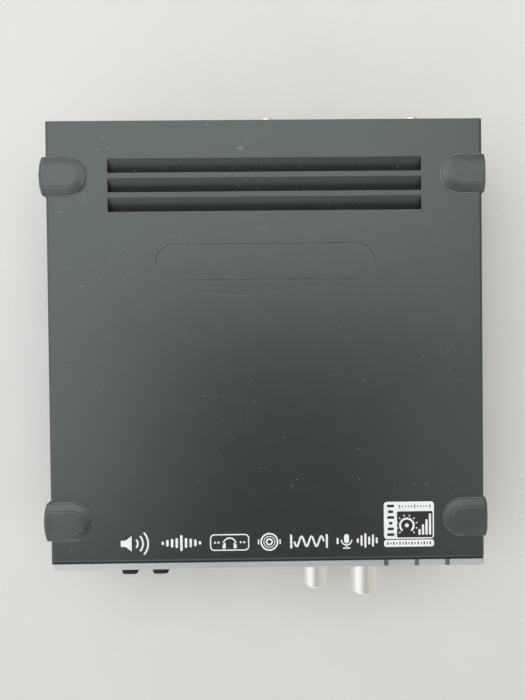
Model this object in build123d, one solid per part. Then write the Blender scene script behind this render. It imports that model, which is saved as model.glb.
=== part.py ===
from build123d import *
import os

# External breakout box of a computer sound card.
# Millimetres. +X is right as seen from the front, +Y is towards the rear, +Z is up.
# The model is made about the middle of the cover's depth and moved to its own frame at the end.

# Folded sheet-steel case
case_width = 185.0
cover_depth = 186.5
sheet = 1.0
bend_radius = 1.6
slip = 0.15
rear_recess = 0.6
flange_height = 9.0
flange_relief = 3.0
cover_bevel = 0.8
cover_bevel_drop = 0.35

# Louvres pressed into the cover's top
louvre_count = 3
louvre_margin = 26.2
louvre_from_rear = 15.8
louvre_width = 6.05
louvre_pitch = 8.2
louvre_drop = 4.7

# Blank badge field, a groove pressed round it
badge_length = 93.0
badge_height = 16.0
badge_from_rear = 59.9
badge_groove = 0.9
badge_depth = 0.35

# Rubber bumpers that wrap over the side edges
bumper_width = 16.6
bumper_pad = 9.5
bumper_reach = 18.1
bumper_rim = 0.7
bumper_height = 1.8
bumper_from_front = 18.2
bumper_from_rear = 23.2
peg_radius = 2.5
peg_length = 3.0
peg_slip = 0.1

# Front stack: the carrier shows as a dark seam between the cover and the fascia
seam = 0.8
lip_inset = 0.5
carrier_plug = 2.0
fascia_thick = 2.75
fascia_edge = 0.5
stake_radius = 1.5
stake_from_side = 8.0
stake_from_edge = 6.0

# Dark inlays let into the fascia's face and over its top edge
inlay_count = 3
inlay_width = 1.95
inlay_depth = 1.0
inlay_sink = 0.2
inlay_length = 18.0
inlay_from_right = 16.1
inlay_pitch = 13.1

# Boards, one above the other
standoff_height = 5.0
standoff_flats = 5.0
board_thick = 1.6
board_margin = 6.0
board_end_gap = 0.5
deck_gap = 2.8
deck_depth = 42.0
post_from_side = 7.0
post_row_front = 9.0
post_row_middle = 35.0
post_row_rear = 30.0

# Screws
screw_radius = 1.25
screw_slip = 0.1
screw_hole_slip = 0.35
head_radius = 2.6
head_height = 1.6
screw_grip = 3.5
cover_screw_spread = 45.0
cover_screw_rise = 5.0

# Quarter-inch jacks, one under each knob
jack_width = 15.0
jack_height = 13.5
jack_length = 24.0
jack_bore = 3.25
jack_cavity = 4.2
jack_back_wall = 3.0
barrel_radius = 4.6
barrel_proud = 3.0
nut_radius = 6.2
nut_thick = 2.0
hole_slip = 0.2

# Potentiometers and knobs
knob_drop = 12.0
pot_width = 11.5
pot_depth = 8.0
pot_axis = 6.5
pot_crown = 5.5
pot_setback = 0.6
pot_front_wall = 1.5
bushing_radius = 3.6
bushing_recess = 0.75
shaft_radius = 2.5
running = 0.05
rotor_radius = 4.0
rotor_thick = 1.5
rotor_gap = 0.3
knob_gap = 0.5
knob_grip = 0.02
knob_end_wall = 2.5
knob_rim = 0.5
dimple_radius = 0.9
dimple_depth = 0.4
dimple_share = 0.6
level_from_right = 71.3
level_base = 11.0
level_end = 9.8
level_reach = 12.4
volume_from_right = 49.5
volume_base = 12.6
volume_end = 11.2
volume_reach = 15.5

# Optical sockets and their dust plugs
optical_from_left = 30.8
optical_pitch = 13.65
optical_width = 9.7
optical_height = 10.0
optical_depth = 14.0
optical_axis = 5.0
nose_width = 8.4
nose_recess = 0.4
port_width = 6.0
port_depth = 10.0
plug_slip = 0.15
plug_shank = 8.0
plug_base = 7.8
plug_end = 6.8
plug_reach = 6.3
plug_corner = 1.5
plug_edge = 0.6

# Power lamp
lamp_from_left = 79.5
lamp_radius = 1.5
lamp_block = 4.4
lamp_proud = 0.6

# Phono sockets
phono_from_right = 23.8
phono_pitch = 67.4
phono_axis = 12.2
phono_radius = 4.15
phono_wall = 0.6
phono_reach = 9.4
phono_flange = 5.4
phono_flange_thick = 0.8
phono_core_recess = 1.2
phono_pin_hole = 1.6
phono_pin_depth = 7.0
phono_width = 12.0
phono_depth = 11.0
phono_crown = 6.0

# Link connector to the card in the computer
link_from_left = 40.5
link_axis = 7.2
link_width = 38.6
link_height = 8.2
link_slope = 1.5
link_wall = 0.5
link_corner = 2.2
link_flange_width = 53.0
link_flange_height = 12.4
link_flange_thick = 1.0
link_reach = 5.6
link_insert_recess = 0.4
link_back = 9.0
link_screw_spacing = 47.04
link_screw_flats = 5.0
link_screw_length = 5.0
link_screw_bore = 1.42
link_screw_bore_depth = 4.5
link_pin_columns = 13
link_pin_pitch = 2.76
link_pin_row_gap = 2.84
link_pin_radius = 0.6
link_pin_depth = 4.0

# Parts on the main board
chip_width = 24.0
chip_thick = 1.8
chip_lead_reach = 1.2
chip_lead_thick = 0.3
chip_x = -30.0
chip_y = 8.0
converter_width = 10.0
converter_x = 34.0
converter_y = -8.0
amplifier_width = 5.0
amplifier_count = 4
amplifier_pitch = 13.0
amplifier_y = -34.0
small_chip_thick = 1.4
can_radius = 4.0
can_height = 11.0
can_count = 6
can_pitch = 13.0
can_y = 40.0
can_rim = 0.6
crystal_length = 11.0
crystal_width = 4.6
crystal_height = 3.6
crystal_x = 8.0
crystal_y = 12.0
regulator_width = 10.0
regulator_height = 15.0
regulator_body = 9.0
regulator_thick = 4.5
regulator_tab = 1.3
regulator_from_right = 30.0
regulator_y = 16.0
header_width = 28.0
header_depth = 5.0
header_x = -32.0
header_row = 28.0

# Heights, from the surface that it stands on
z_under = bumper_height
z_floor = z_under + sheet
z_board = z_floor + standoff_height
z_main = z_board + board_thick
z_jack = z_main + jack_height / 2
z_deck = z_main + jack_height + deck_gap
z_control = z_deck + board_thick
z_knob = z_control + pot_axis
z_optical = z_control + optical_axis
z_top = z_knob + knob_drop
z_phono = z_main + phono_axis
z_link = z_main + link_axis

# Widths, from the middle
half_width = case_width / 2
tray_half = half_width - sheet - slip
board_half = tray_half - board_margin
post_x = board_half - post_from_side
volume_x = half_width - volume_from_right
level_x = half_width - level_from_right
optical_in_x = optical_from_left - half_width
optical_out_x = optical_in_x + optical_pitch
lamp_x = lamp_from_left - half_width
phono_in_x = half_width - phono_from_right
phono_out_x = phono_in_x - phono_pitch
link_x = link_from_left - half_width
regulator_x = half_width - regulator_from_right
inlay_places = [half_width - inlay_from_right - i * inlay_pitch for i in range(inlay_count)]

# Depths, from the middle of the cover
y_front = -cover_depth / 2
y_lip = y_front - seam
y_face = y_lip - fascia_thick
y_plug = y_front + carrier_plug
y_wall = y_plug + sheet
y_rear = cover_depth / 2
y_back = y_rear - rear_recess
y_back_in = y_back - sheet
board_front = y_wall + board_end_gap
board_rear = y_back_in - board_end_gap
deck_rear = board_front + deck_depth
row_front = y_wall + post_row_front
row_middle = y_wall + post_row_middle
row_rear = y_back_in - post_row_rear
bumper_front_y = y_lip + bumper_from_front
bumper_rear_y = y_rear - bumper_from_rear
phono_tip = y_rear + phono_reach

# The origin is under the middle of the whole box
middle_y = (y_face - max(level_reach, volume_reach) + phono_tip) / 2


def block(x0, x1, y0, y1, z0, z1):
    """Box between two corners."""
    size = Box(x1 - x0, y1 - y0, z1 - z0)
    return Pos((x0 + x1) / 2, (y0 + y1) / 2, (z0 + z1) / 2) * size


def rod_x(y, z, radius, x0, x1):
    """Round bar along X."""
    return Pos((x0 + x1) / 2, y, z) * Rot(0, 90, 0) * Cylinder(radius, x1 - x0)


def rod_y(x, z, radius, y0, y1):
    """Round bar along Y."""
    return Pos(x, (y0 + y1) / 2, z) * Rot(90, 0, 0) * Cylinder(radius, y1 - y0)


def rod_z(x, y, radius, z0, z1):
    """Round bar along Z."""
    return Pos(x, y, (z0 + z1) / 2) * Cylinder(radius, z1 - z0)


def group(solids):
    """Separate solids that share one node."""
    return Part() + list(solids)


def prism_x(points, x0, x1):
    """Outline of (y, z) points carried along X."""
    outline = make_face(Polyline(*[(y, z) for y, z in points], close=True))
    return extrude(Plane.YZ.offset(x0) * outline, x1 - x0)


def square_y(x, z, width, y0, y1):
    """Square bar along Y."""
    return block(x - width / 2, x + width / 2, y0, y1, z - width / 2, z + width / 2)


def hex_y(x, z, flats, y0, y1):
    """Hexagonal bar along Y, measured over its flats."""
    outline = RegularPolygon(flats / 2, 6, major_radius=False)
    return Pos(x, y0, z) * (Rot(-90, 0, 0) * extrude(outline, y1 - y0))


def hex_z(x, y, flats, z0, z1):
    """Hexagonal bar along Z, measured over its flats."""
    return Pos(x, y, z0) * extrude(RegularPolygon(flats / 2, 6, major_radius=False), z1 - z0)


def cover_screw_places():
    """Side and front-to-rear place of each screw that holds the cover."""
    return [(side, y) for side in (-1, 1) for y in (-cover_screw_spread, cover_screw_spread)]


def stake_places():
    """Corners where the fascia is staked to its carrier."""
    x = half_width - stake_from_side
    rows = (z_under + stake_from_edge, z_top - stake_from_edge)
    return [(side * x, z) for side in (-1, 1) for z in rows]


def carrier_screw_places():
    """Screws that hold the carrier to the tray, level with the jacks."""
    x = half_width - stake_from_side
    return [(-x, z_jack), (lamp_x, z_jack), (x, z_jack)]


def bumper_places():
    """Name, side and front-to-rear place of each bumper."""
    rows = (("front", bumper_front_y), ("rear", bumper_rear_y))
    sides = (("left", -1), ("right", 1))
    return [(f"bumper_{row}_{side}", sign, y) for row, y in rows for side, sign in sides]


def peg_x():
    """Distance of the bumper pegs from the middle."""
    return half_width - (bumper_reach - bumper_width / 2)


def deck_posts():
    """Places of the posts that carry the control board."""
    return [(side * post_x, y) for side in (-1, 1) for y in (row_front, row_middle)]


def rear_posts():
    """Places of the standoffs that are screwed from above."""
    return [(side * post_x, row_rear) for side in (-1, 1)]


def louvre(rear_edge):
    """Pressed scoop and the space in it: the floor falls from the rear edge towards the front."""
    front_edge = rear_edge - louvre_width
    half = half_width - louvre_margin
    low = z_top - louvre_drop
    shell = [(rear_edge, z_top), (front_edge, z_top), (front_edge, low - sheet), (rear_edge, z_top - sheet)]
    space = [(rear_edge, z_top), (front_edge, z_top), (front_edge, low)]
    return prism_x(shell, -half - sheet, half + sheet), prism_x(space, -half, half)


def top_cover():
    """Folded cover: top and two side walls."""
    outer = block(-half_width, half_width, y_front, y_rear, z_under, z_top)
    outer = fillet(outer.edges().filter_by(Axis.Y).group_by(Axis.Z)[-1], bend_radius)
    side = half_width - sheet
    inner = block(-side, side, y_front, y_rear, z_under, z_top - sheet)
    inner_radius = bend_radius - sheet
    if inner_radius > 0:
        inner = fillet(inner.edges().filter_by(Axis.Y).group_by(Axis.Z)[-1], inner_radius)
    cover = outer - inner
    for i in range(louvre_count):
        shell, space = louvre(y_rear - louvre_from_rear - i * louvre_pitch)
        cover = cover + shell - space
    bevel = [(y_front, z_top), (y_front + cover_bevel, z_top), (y_front, z_top - cover_bevel_drop)]
    cover -= prism_x(bevel, -half_width, half_width)
    cover -= badge_field()
    for _, sign, y in bumper_places():
        cover -= rod_z(sign * peg_x(), y, peg_radius + peg_slip, z_top - sheet, z_top)
    for sign, y in cover_screw_places():
        ends = sorted((sign * (half_width - sheet), sign * half_width))
        cover -= rod_x(y, z_floor + cover_screw_rise, screw_radius + screw_hole_slip, *ends)
    return cover


def badge_field():
    """Shallow groove round a blank field with round ends."""
    outer = SlotOverall(badge_length, badge_height)
    inner = SlotOverall(badge_length - 2 * badge_groove, badge_height - 2 * badge_groove)
    return Pos(0, y_rear - badge_from_rear, z_top - badge_depth) * extrude(outer - inner, badge_depth)


def tray_front_holes():
    """What passes through the tray's front wall."""
    y0, y1 = y_plug, y_wall
    holes = [rod_y(x, z_jack, barrel_radius + hole_slip, y0, y1) for x in (level_x, volume_x)]
    holes += [rod_y(x, z_knob, bushing_radius + hole_slip, y0, y1) for x in (level_x, volume_x)]
    nose_hole = nose_width + 2 * hole_slip
    holes += [square_y(x, z_optical, nose_hole, y0, y1) for x in (optical_in_x, optical_out_x)]
    holes += [rod_y(lamp_x, z_optical, lamp_radius + hole_slip, y0, y1)]
    holes += [rod_y(x, z, screw_radius + screw_hole_slip, y0, y1) for x, z in carrier_screw_places()]
    holes += [rod_y(x, z, stake_radius + hole_slip, y0, y1) for x, z in stake_places()]
    return holes


def tray_rear_holes():
    """What passes through the tray's rear wall."""
    y0, y1 = y_back_in, y_back
    holes = [rod_y(x, z_phono, phono_radius + hole_slip, y0, y1) for x in (phono_in_x, phono_out_x)]
    holes += [link_outline(hole_slip, y0, y1)]
    holes += [rod_y(x, z_link, screw_radius + screw_hole_slip, y0, y1) for x in link_screw_places()]
    return holes


def base_tray():
    """Folded tray: floor, front wall, rear wall and low side flanges."""
    wall_top = z_top - sheet - slip
    outer = block(-tray_half, tray_half, y_plug, y_back, z_under, wall_top)
    outer = fillet(outer.edges().filter_by(Axis.X).group_by(Axis.Z)[0], bend_radius)
    tray = outer - block(-tray_half, tray_half, y_wall, y_back_in, z_floor, wall_top)
    for sign in (-1, 1):
        ends = sorted((sign * (tray_half - sheet), sign * tray_half))
        rows = (y_wall + flange_relief, y_back_in - flange_relief)
        tray += block(*ends, *rows, z_floor, z_floor + flange_height)
    for hole in tray_front_holes() + tray_rear_holes():
        tray -= hole
    for _, sign, y in bumper_places():
        tray -= rod_z(sign * peg_x(), y, peg_radius + peg_slip, z_under, z_floor)
    for sign, y in cover_screw_places():
        ends = sorted((sign * (tray_half - sheet), sign * tray_half))
        tray -= rod_x(y, z_floor + cover_screw_rise, screw_radius + screw_slip, *ends)
    return tray


def fascia_carrier():
    """Dark moulded carrier: a lip that shows in the seam and a plug inside the cover's mouth."""
    lip_x = half_width - lip_inset
    carrier = block(-lip_x, lip_x, y_lip, y_front, z_under + lip_inset, z_top - lip_inset)
    plug_half = half_width - sheet - slip
    plug_top = z_top - sheet - slip
    carrier += block(-plug_half, plug_half, y_front, y_plug, z_under + lip_inset, plug_top)
    for x in (level_x, volume_x):
        carrier -= rod_y(x, z_jack, barrel_radius + hole_slip, y_lip, y_plug)
        carrier -= rod_y(x, z_knob, bushing_radius + hole_slip, y_lip, y_plug)
    for x in (optical_in_x, optical_out_x):
        carrier -= square_y(x, z_optical, nose_width + 2 * hole_slip, y_lip, y_plug)
    carrier -= rod_y(lamp_x, z_optical, lamp_radius + hole_slip, y_lip, y_plug)
    for x, z in carrier_screw_places():
        carrier -= rod_y(x, z, screw_radius + screw_slip, y_lip, y_plug)
    for x, z in stake_places():
        carrier -= rod_y(x, z, stake_radius + hole_slip, y_lip, y_plug)
    return carrier


def inlay(x, width, depth, sink):
    """Strip in the fascia: across its top edge and down its face, sunk below both surfaces."""
    low = z_top - inlay_length
    x0, x1 = x - width / 2, x + width / 2
    across = block(x0, x1, y_face + sink, y_lip, z_top - depth, z_top - sink)
    down = block(x0, x1, y_face + sink, y_face + depth, low, z_top - sink)
    return across + down


def front_fascia():
    """Silver front plate with rounded front edges."""
    plate = block(-half_width, half_width, y_face, y_lip, z_under, z_top)
    plate = fillet(plate.edges().filter_by(Axis.Y), bend_radius)
    plate = fillet(plate.faces().sort_by(Axis.Y)[0].edges(), fascia_edge)
    for x in inlay_places:
        plate -= inlay(x, inlay_width, inlay_depth, 0)
    for x in (level_x, volume_x):
        plate -= rod_y(x, z_jack, barrel_radius + hole_slip, y_face, y_lip)
        plate -= rod_y(x, z_knob, bushing_radius + hole_slip, y_face, y_lip)
    for x in (optical_in_x, optical_out_x):
        plate -= square_y(x, z_optical, nose_width + 2 * hole_slip, y_face, y_lip)
    plate -= rod_y(lamp_x, z_optical, lamp_radius + hole_slip, y_face, y_lip)
    for x, z in stake_places():
        plate += rod_y(x, z, stake_radius, y_lip, y_plug)
    return plate


def fascia_inlays():
    """Dark strips in the fascia's grooves."""
    return group(inlay(x, inlay_width, inlay_depth, inlay_sink) for x in inlay_places)


def bumper_outline(width, reach, z):
    """Straight sides and a round inner end, reaching in from the right side edge."""
    radius = width / 2
    x = half_width - reach + radius
    edges = Polyline((x, radius), (half_width, radius), (half_width, -radius), (x, -radius))
    edges += ThreePointArc((x, -radius), (x - radius, 0), (x, radius))
    return Pos(0, 0, z) * make_face(edges)


def bumper_section():
    """Cross-section of the strap at the side edge, its thickness measured upwards."""
    half = bumper_width / 2
    pad = bumper_pad / 2
    right = [(half, 0), (half, bumper_rim), (pad, bumper_height)]
    left = [(-pad, bumper_height), (-half, bumper_rim), (-half, 0)]
    return make_face(Polyline(*right, *left, close=True))


def bumper_pad_solid():
    """Top pad of a right-hand bumper, with its base at height zero."""
    bevel = (bumper_width - bumper_pad) / 2
    base = extrude(bumper_outline(bumper_width, bumper_reach, 0), bumper_rim)
    low = bumper_outline(bumper_width, bumper_reach, bumper_rim)
    high = bumper_outline(bumper_pad, bumper_reach - bevel, bumper_height)
    return base + loft([low, high], ruled=True)


def bumper(sign, y):
    """Rubber strap that wraps from the top, down the side and under the floor, with two pegs."""
    corner = Pos(half_width, 0, z_top) * revolve(Plane.YZ * bumper_section(), Axis.Y, 90)
    upper = Pos(0, 0, z_top) * bumper_pad_solid() + corner
    upper += rod_z(peg_x(), 0, peg_radius, z_top - peg_length, z_top)
    middle = (z_under + z_top) / 2
    lower = mirror(upper, about=Plane.XY.offset(middle))
    side_plane = Plane(origin=(half_width, 0, z_under), x_dir=(0, 1, 0), z_dir=(0, 0, 1))
    strap = extrude(side_plane * (Rot(0, 0, 180) * bumper_section()), z_top - z_under)
    solid = upper + lower + strap
    if sign < 0:
        solid = mirror(solid, about=Plane.YZ)
    return Pos(0, y, 0) * solid


def pan_screw_z(x, y, z, grip):
    """Screw driven downwards, its head on height z."""
    head = rod_z(x, y, head_radius, z, z + head_height)
    head = fillet(head.edges().group_by(Axis.Z)[-1], head_height / 2)
    return head + rod_z(x, y, screw_radius, z - grip, z)


def cover_screws():
    """Screws through the cover's sides into the tray's flanges."""
    screws = []
    for sign, y in cover_screw_places():
        z = z_floor + cover_screw_rise
        upright = pan_screw_z(0, 0, 0, sheet + slip + screw_grip)
        screws.append(Pos(sign * half_width, y, z) * Rot(0, sign * 90, 0) * upright)
    return group(screws)


def carrier_screws():
    """Screws from inside the tray into the carrier."""
    upright = pan_screw_z(0, 0, 0, sheet + carrier_plug)
    return group(Pos(x, y_wall, z) * Rot(-90, 0, 0) * upright for x, z in carrier_screw_places())


def main_board():
    """Main board on its standoffs."""
    board = block(-board_half, board_half, board_front, board_rear, z_board, z_main)
    for x, y in deck_posts() + rear_posts():
        board -= rod_z(x, y, screw_radius + screw_hole_slip, z_board, z_main)
    return board


def board_standoffs():
    """Hexagonal standoffs pressed into the tray's floor."""
    posts = []
    for x, y in deck_posts() + rear_posts():
        post = hex_z(x, y, standoff_flats, z_floor, z_board)
        posts.append(post - rod_z(x, y, screw_radius + screw_slip, z_floor, z_board))
    return group(posts)


def board_screws():
    """Screws that hold the main board at the rear."""
    return group(pan_screw_z(x, y, z_main, board_thick + screw_grip) for x, y in rear_posts())


def deck_standoffs():
    """Posts with a lower stud, between the two boards."""
    posts = []
    for x, y in deck_posts():
        post = hex_z(x, y, standoff_flats, z_main, z_deck)
        post += rod_z(x, y, screw_radius, z_main - board_thick - screw_grip, z_main)
        top_hole = rod_z(x, y, screw_radius + screw_slip, z_deck - screw_grip - screw_slip, z_deck)
        posts.append(post - top_hole)
    return group(posts)


def deck_screws():
    """Screws that hold the control board to its posts."""
    return group(pan_screw_z(x, y, z_control, board_thick + screw_grip) for x, y in deck_posts())


def control_board():
    """Upper board at the front, for the knobs and optical sockets."""
    board = block(-board_half, board_half, board_front, deck_rear, z_deck, z_control)
    for x, y in deck_posts():
        board -= rod_z(x, y, screw_radius + screw_hole_slip, z_deck, z_control)
    return board


def deck_header():
    """Pin header that joins the two boards."""
    y = y_wall + header_row
    x0, x1 = header_x - header_width / 2, header_x + header_width / 2
    return block(x0, x1, y - header_depth / 2, y + header_depth / 2, z_main, z_deck)


def jack_body(x):
    """Housing of a quarter-inch jack on the main board."""
    half = jack_width / 2
    body = block(x - half, x + half, y_wall, y_wall + jack_length, z_main, z_main + jack_height)
    return body - rod_y(x, z_jack, jack_cavity, y_wall, y_wall + jack_length - jack_back_wall)


def jack_barrel(x):
    """Threaded barrel of a jack, through the wall, the carrier and the fascia."""
    barrel = rod_y(x, z_jack, barrel_radius, y_face - barrel_proud, y_wall)
    return barrel - rod_y(x, z_jack, jack_bore, y_face - barrel_proud, y_wall)


def jack_nuts():
    """Round nuts that hold the barrels against the fascia."""
    nuts = []
    for x in (level_x, volume_x):
        nut = rod_y(x, z_jack, nut_radius, y_face - nut_thick, y_face)
        nuts.append(nut - rod_y(x, z_jack, barrel_radius + running, y_face - nut_thick, y_face))
    return group(nuts)


def rotor_front():
    """Front of the space that the rotor turns in."""
    return y_wall + pot_setback + pot_front_wall


def potentiometer(x):
    """Body on the control board with a bushing that guides the shaft."""
    half = pot_width / 2
    front = y_wall + pot_setback
    body = block(x - half, x + half, front, front + pot_depth, z_control, z_knob + pot_crown)
    body += rod_y(x, z_knob, bushing_radius, y_face + bushing_recess, front)
    space = rotor_front()
    body -= rod_y(x, z_knob, rotor_radius + rotor_gap, space, space + rotor_thick + 2 * rotor_gap)
    return body - rod_y(x, z_knob, shaft_radius + running, y_face + bushing_recess, space)


def knob_bore_end(reach):
    """Bottom of the blind hole in a knob."""
    return y_face - reach + knob_end_wall


def pot_shaft(x, reach):
    """Shaft with the rotor that keeps it in the body."""
    back = rotor_front() + rotor_gap
    shaft = rod_y(x, z_knob, shaft_radius, knob_bore_end(reach), back)
    return shaft + rod_y(x, z_knob, rotor_radius, back, back + rotor_thick)


def knob(x, base, end, reach):
    """Slightly tapered turned knob with a blind hole and a dimple on its end."""
    back = y_face - knob_gap
    tip = y_face - reach
    radius = base / 2
    tip_radius = end / 2
    length = back - tip
    cone = Rot(90, 0, 0) * Pos(0, 0, length / 2) * Cone(radius, tip_radius, length)
    solid = Pos(x, back, z_knob) * cone
    solid = fillet(solid.edges().filter_by(GeomType.CIRCLE).sort_by(Axis.Y)[0], knob_rim)
    solid -= rod_y(x, z_knob, shaft_radius + knob_grip, knob_bore_end(reach), back)
    return solid - rod_y(x, z_knob + tip_radius * dimple_share, dimple_radius, tip, tip + dimple_depth)


def optical_socket(x):
    """Optical socket on the control board, with a square nose through the fascia."""
    half = optical_width / 2
    body = block(x - half, x + half, y_wall, y_wall + optical_depth, z_control, z_control + optical_height)
    mouth = y_face + nose_recess
    body += square_y(x, z_optical, nose_width, mouth, y_wall)
    return body - square_y(x, z_optical, port_width, mouth, mouth + port_depth)


def dust_plug(x):
    """Plug in an optical socket, with a tapered rounded grip."""
    mouth = y_face + nose_recess
    shank = square_y(x, z_optical, port_width - 2 * plug_slip, mouth, mouth + plug_shank)
    tip = y_face - plug_reach
    low = Plane.XZ.offset(-mouth) * Pos(x, z_optical) * RectangleRounded(plug_base, plug_base, plug_corner)
    high = Plane.XZ.offset(-tip) * Pos(x, z_optical) * RectangleRounded(plug_end, plug_end, plug_corner)
    grip = loft([low, high], ruled=True)
    grip = fillet(grip.faces().sort_by(Axis.Y)[0].edges(), plug_edge)
    return shank + grip


def power_lamp():
    """Lamp on the control board with a lens through the fascia."""
    half = lamp_block / 2
    back = y_wall + lamp_block
    body = block(lamp_x - half, lamp_x + half, y_wall, back, z_control, z_optical + half)
    lens = rod_y(lamp_x, z_optical, lamp_radius, y_face - lamp_proud, y_wall)
    lens = fillet(lens.edges().filter_by(GeomType.CIRCLE).sort_by(Axis.Y)[0], lamp_proud)
    return body + lens


def phono_housing(x):
    """Plastic housing of a phono socket behind the rear wall."""
    half = phono_width / 2
    return block(x - half, x + half, y_back_in - phono_depth, y_back_in, z_main, z_phono + phono_crown)


def phono_sleeve(x):
    """Gold sleeve with a flange against the rear wall."""
    sleeve = rod_y(x, z_phono, phono_radius, y_back_in, phono_tip)
    sleeve += rod_y(x, z_phono, phono_flange, y_back, y_back + phono_flange_thick)
    return sleeve - rod_y(x, z_phono, phono_radius - phono_wall, y_back_in, phono_tip)


def phono_core(x):
    """Insulating core with the hole for the plug's pin."""
    mouth = phono_tip - phono_core_recess
    core = rod_y(x, z_phono, phono_radius - phono_wall, y_back_in, mouth)
    return core - rod_y(x, z_phono, phono_pin_hole, mouth - phono_pin_depth, mouth)


def link_outline(grow, y0, y1):
    """D-shaped bar along Y with round corners, grown by a clearance."""
    half = link_width / 2 + grow
    tall = link_height / 2 + grow
    points = [(-half, tall), (half, tall), (half - link_slope, -tall), (link_slope - half, -tall)]
    outline = make_face(Polyline(*points, close=True))
    outline = fillet(outline.vertices(), link_corner + grow)
    return Pos(link_x, y0, z_link) * (Plane.XZ * extrude(outline, y0 - y1))


def link_screw_places():
    """Places of the two jackscrews along X."""
    return [link_x - link_screw_spacing / 2, link_x + link_screw_spacing / 2]


def link_shell():
    """Plated shell of the link connector, with its flange inside the rear wall."""
    half = link_flange_width / 2
    tall = link_flange_height / 2
    flange_back = y_back_in - link_flange_thick
    shell = block(link_x - half, link_x + half, flange_back, y_back_in, z_link - tall, z_link + tall)
    shell += link_outline(0, y_back_in, y_back + link_reach)
    shell -= link_outline(-link_wall, flange_back, y_back + link_reach)
    for x in link_screw_places():
        shell -= rod_y(x, z_link, screw_radius + screw_hole_slip, flange_back, y_back_in)
    return shell


def link_insert():
    """Insulator of the link connector, with two rows of pin holes."""
    flange_back = y_back_in - link_flange_thick
    mouth = y_back + link_reach - link_insert_recess
    insert = link_outline(-link_wall, flange_back, mouth)
    x0, x1 = link_x - link_width / 2, link_x + link_width / 2
    insert += block(x0, x1, flange_back - link_back, flange_back, z_main, z_link + link_height / 2)
    for row, z in enumerate((z_link + link_pin_row_gap / 2, z_link - link_pin_row_gap / 2)):
        count = link_pin_columns - row
        for i in range(count):
            x = link_x + (i - (count - 1) / 2) * link_pin_pitch
            insert -= rod_y(x, z, link_pin_radius, mouth - link_pin_depth, mouth)
    return insert


def link_jackscrews():
    """Hexagonal jackscrews beside the link connector."""
    screws = []
    for x in link_screw_places():
        tip = y_back + link_screw_length
        screw = hex_y(x, z_link, link_screw_flats, y_back, tip)
        screw += rod_y(x, z_link, screw_radius, y_back_in - link_flange_thick, y_back)
        screws.append(screw - rod_y(x, z_link, link_screw_bore, tip - link_screw_bore_depth, tip))
    return group(screws)


def chip(x, y, width, thick):
    """Square chip with a thin skirt of leads."""
    half = width / 2
    reach = half + chip_lead_reach
    body = block(x - half, x + half, y - half, y + half, z_main, z_main + thick)
    return body + block(x - reach, x + reach, y - reach, y + reach, z_main, z_main + chip_lead_thick)


def amplifier_chips():
    """Row of small chips behind the jacks."""
    first = volume_x - (amplifier_count - 1) * amplifier_pitch
    places = [first + i * amplifier_pitch for i in range(amplifier_count)]
    return group(chip(x, amplifier_y, amplifier_width, small_chip_thick) for x in places)


def capacitors():
    """Row of upright capacitor cans."""
    cans = []
    for i in range(can_count):
        x = (i - (can_count - 1) / 2) * can_pitch
        can = rod_z(x, can_y, can_radius, z_main, z_main + can_height)
        cans.append(fillet(can.edges().group_by(Axis.Z)[-1], can_rim))
    return group(cans)


def crystal():
    """Low oval crystal can."""
    outline = SlotOverall(crystal_length, crystal_width)
    return Pos(crystal_x, crystal_y, z_main) * extrude(outline, crystal_height)


def regulator():
    """Upright regulator with a metal tab."""
    x0 = regulator_x - regulator_width / 2
    x1 = regulator_x + regulator_width / 2
    y0 = regulator_y - regulator_thick / 2
    y1 = regulator_y + regulator_thick / 2
    body = block(x0, x1, y0, y1, z_main, z_main + regulator_body)
    return body + block(x0, x1, y1 - regulator_tab, y1, z_main, z_main + regulator_height)


def build_nodes():
    """Every piece by name."""
    nodes = {
        "top_cover": top_cover(),
        "base_tray": base_tray(),
        "fascia_carrier": fascia_carrier(),
        "front_fascia": front_fascia(),
        "fascia_inlays": fascia_inlays(),
        "cover_screws": cover_screws(),
        "carrier_screws": carrier_screws(),
        "main_board": main_board(),
        "board_standoffs": board_standoffs(),
        "board_screws": board_screws(),
        "control_board": control_board(),
        "deck_standoffs": deck_standoffs(),
        "deck_screws": deck_screws(),
        "deck_header": deck_header(),
        "jack_nuts": jack_nuts(),
        "level_knob": knob(level_x, level_base, level_end, level_reach),
        "volume_knob": knob(volume_x, volume_base, volume_end, volume_reach),
        "level_shaft": pot_shaft(level_x, level_reach),
        "volume_shaft": pot_shaft(volume_x, volume_reach),
        "power_lamp": power_lamp(),
        "link_shell": link_shell(),
        "link_insert": link_insert(),
        "link_jackscrews": link_jackscrews(),
        "main_chip": chip(chip_x, chip_y, chip_width, chip_thick),
        "converter_chip": chip(converter_x, converter_y, converter_width, small_chip_thick),
        "amplifier_chips": amplifier_chips(),
        "capacitors": capacitors(),
        "crystal": crystal(),
        "regulator": regulator(),
    }
    for name, sign, y in bumper_places():
        nodes[name] = bumper(sign, y)
    for name, x in (("level_pot", level_x), ("volume_pot", volume_x)):
        nodes[name] = potentiometer(x)
    for name, x in (("microphone", level_x), ("headphone", volume_x)):
        nodes[f"{name}_jack"] = jack_body(x)
        nodes[f"{name}_barrel"] = jack_barrel(x)
    for name, x in (("optical_in", optical_in_x), ("optical_out", optical_out_x)):
        nodes[f"{name}_socket"] = optical_socket(x)
        nodes[f"{name}_plug"] = dust_plug(x)
    for name, x in (("phono_in", phono_in_x), ("phono_out", phono_out_x)):
        nodes[f"{name}_housing"] = phono_housing(x)
        nodes[f"{name}_sleeve"] = phono_sleeve(x)
        nodes[f"{name}_core"] = phono_core(x)
    return nodes


os.makedirs("parts", exist_ok=True)
for node, solid in build_nodes().items():
    export_step(Pos(0, -middle_y, 0) * solid, f"parts/{node}.step")
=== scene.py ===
import math
from types import SimpleNamespace

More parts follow.
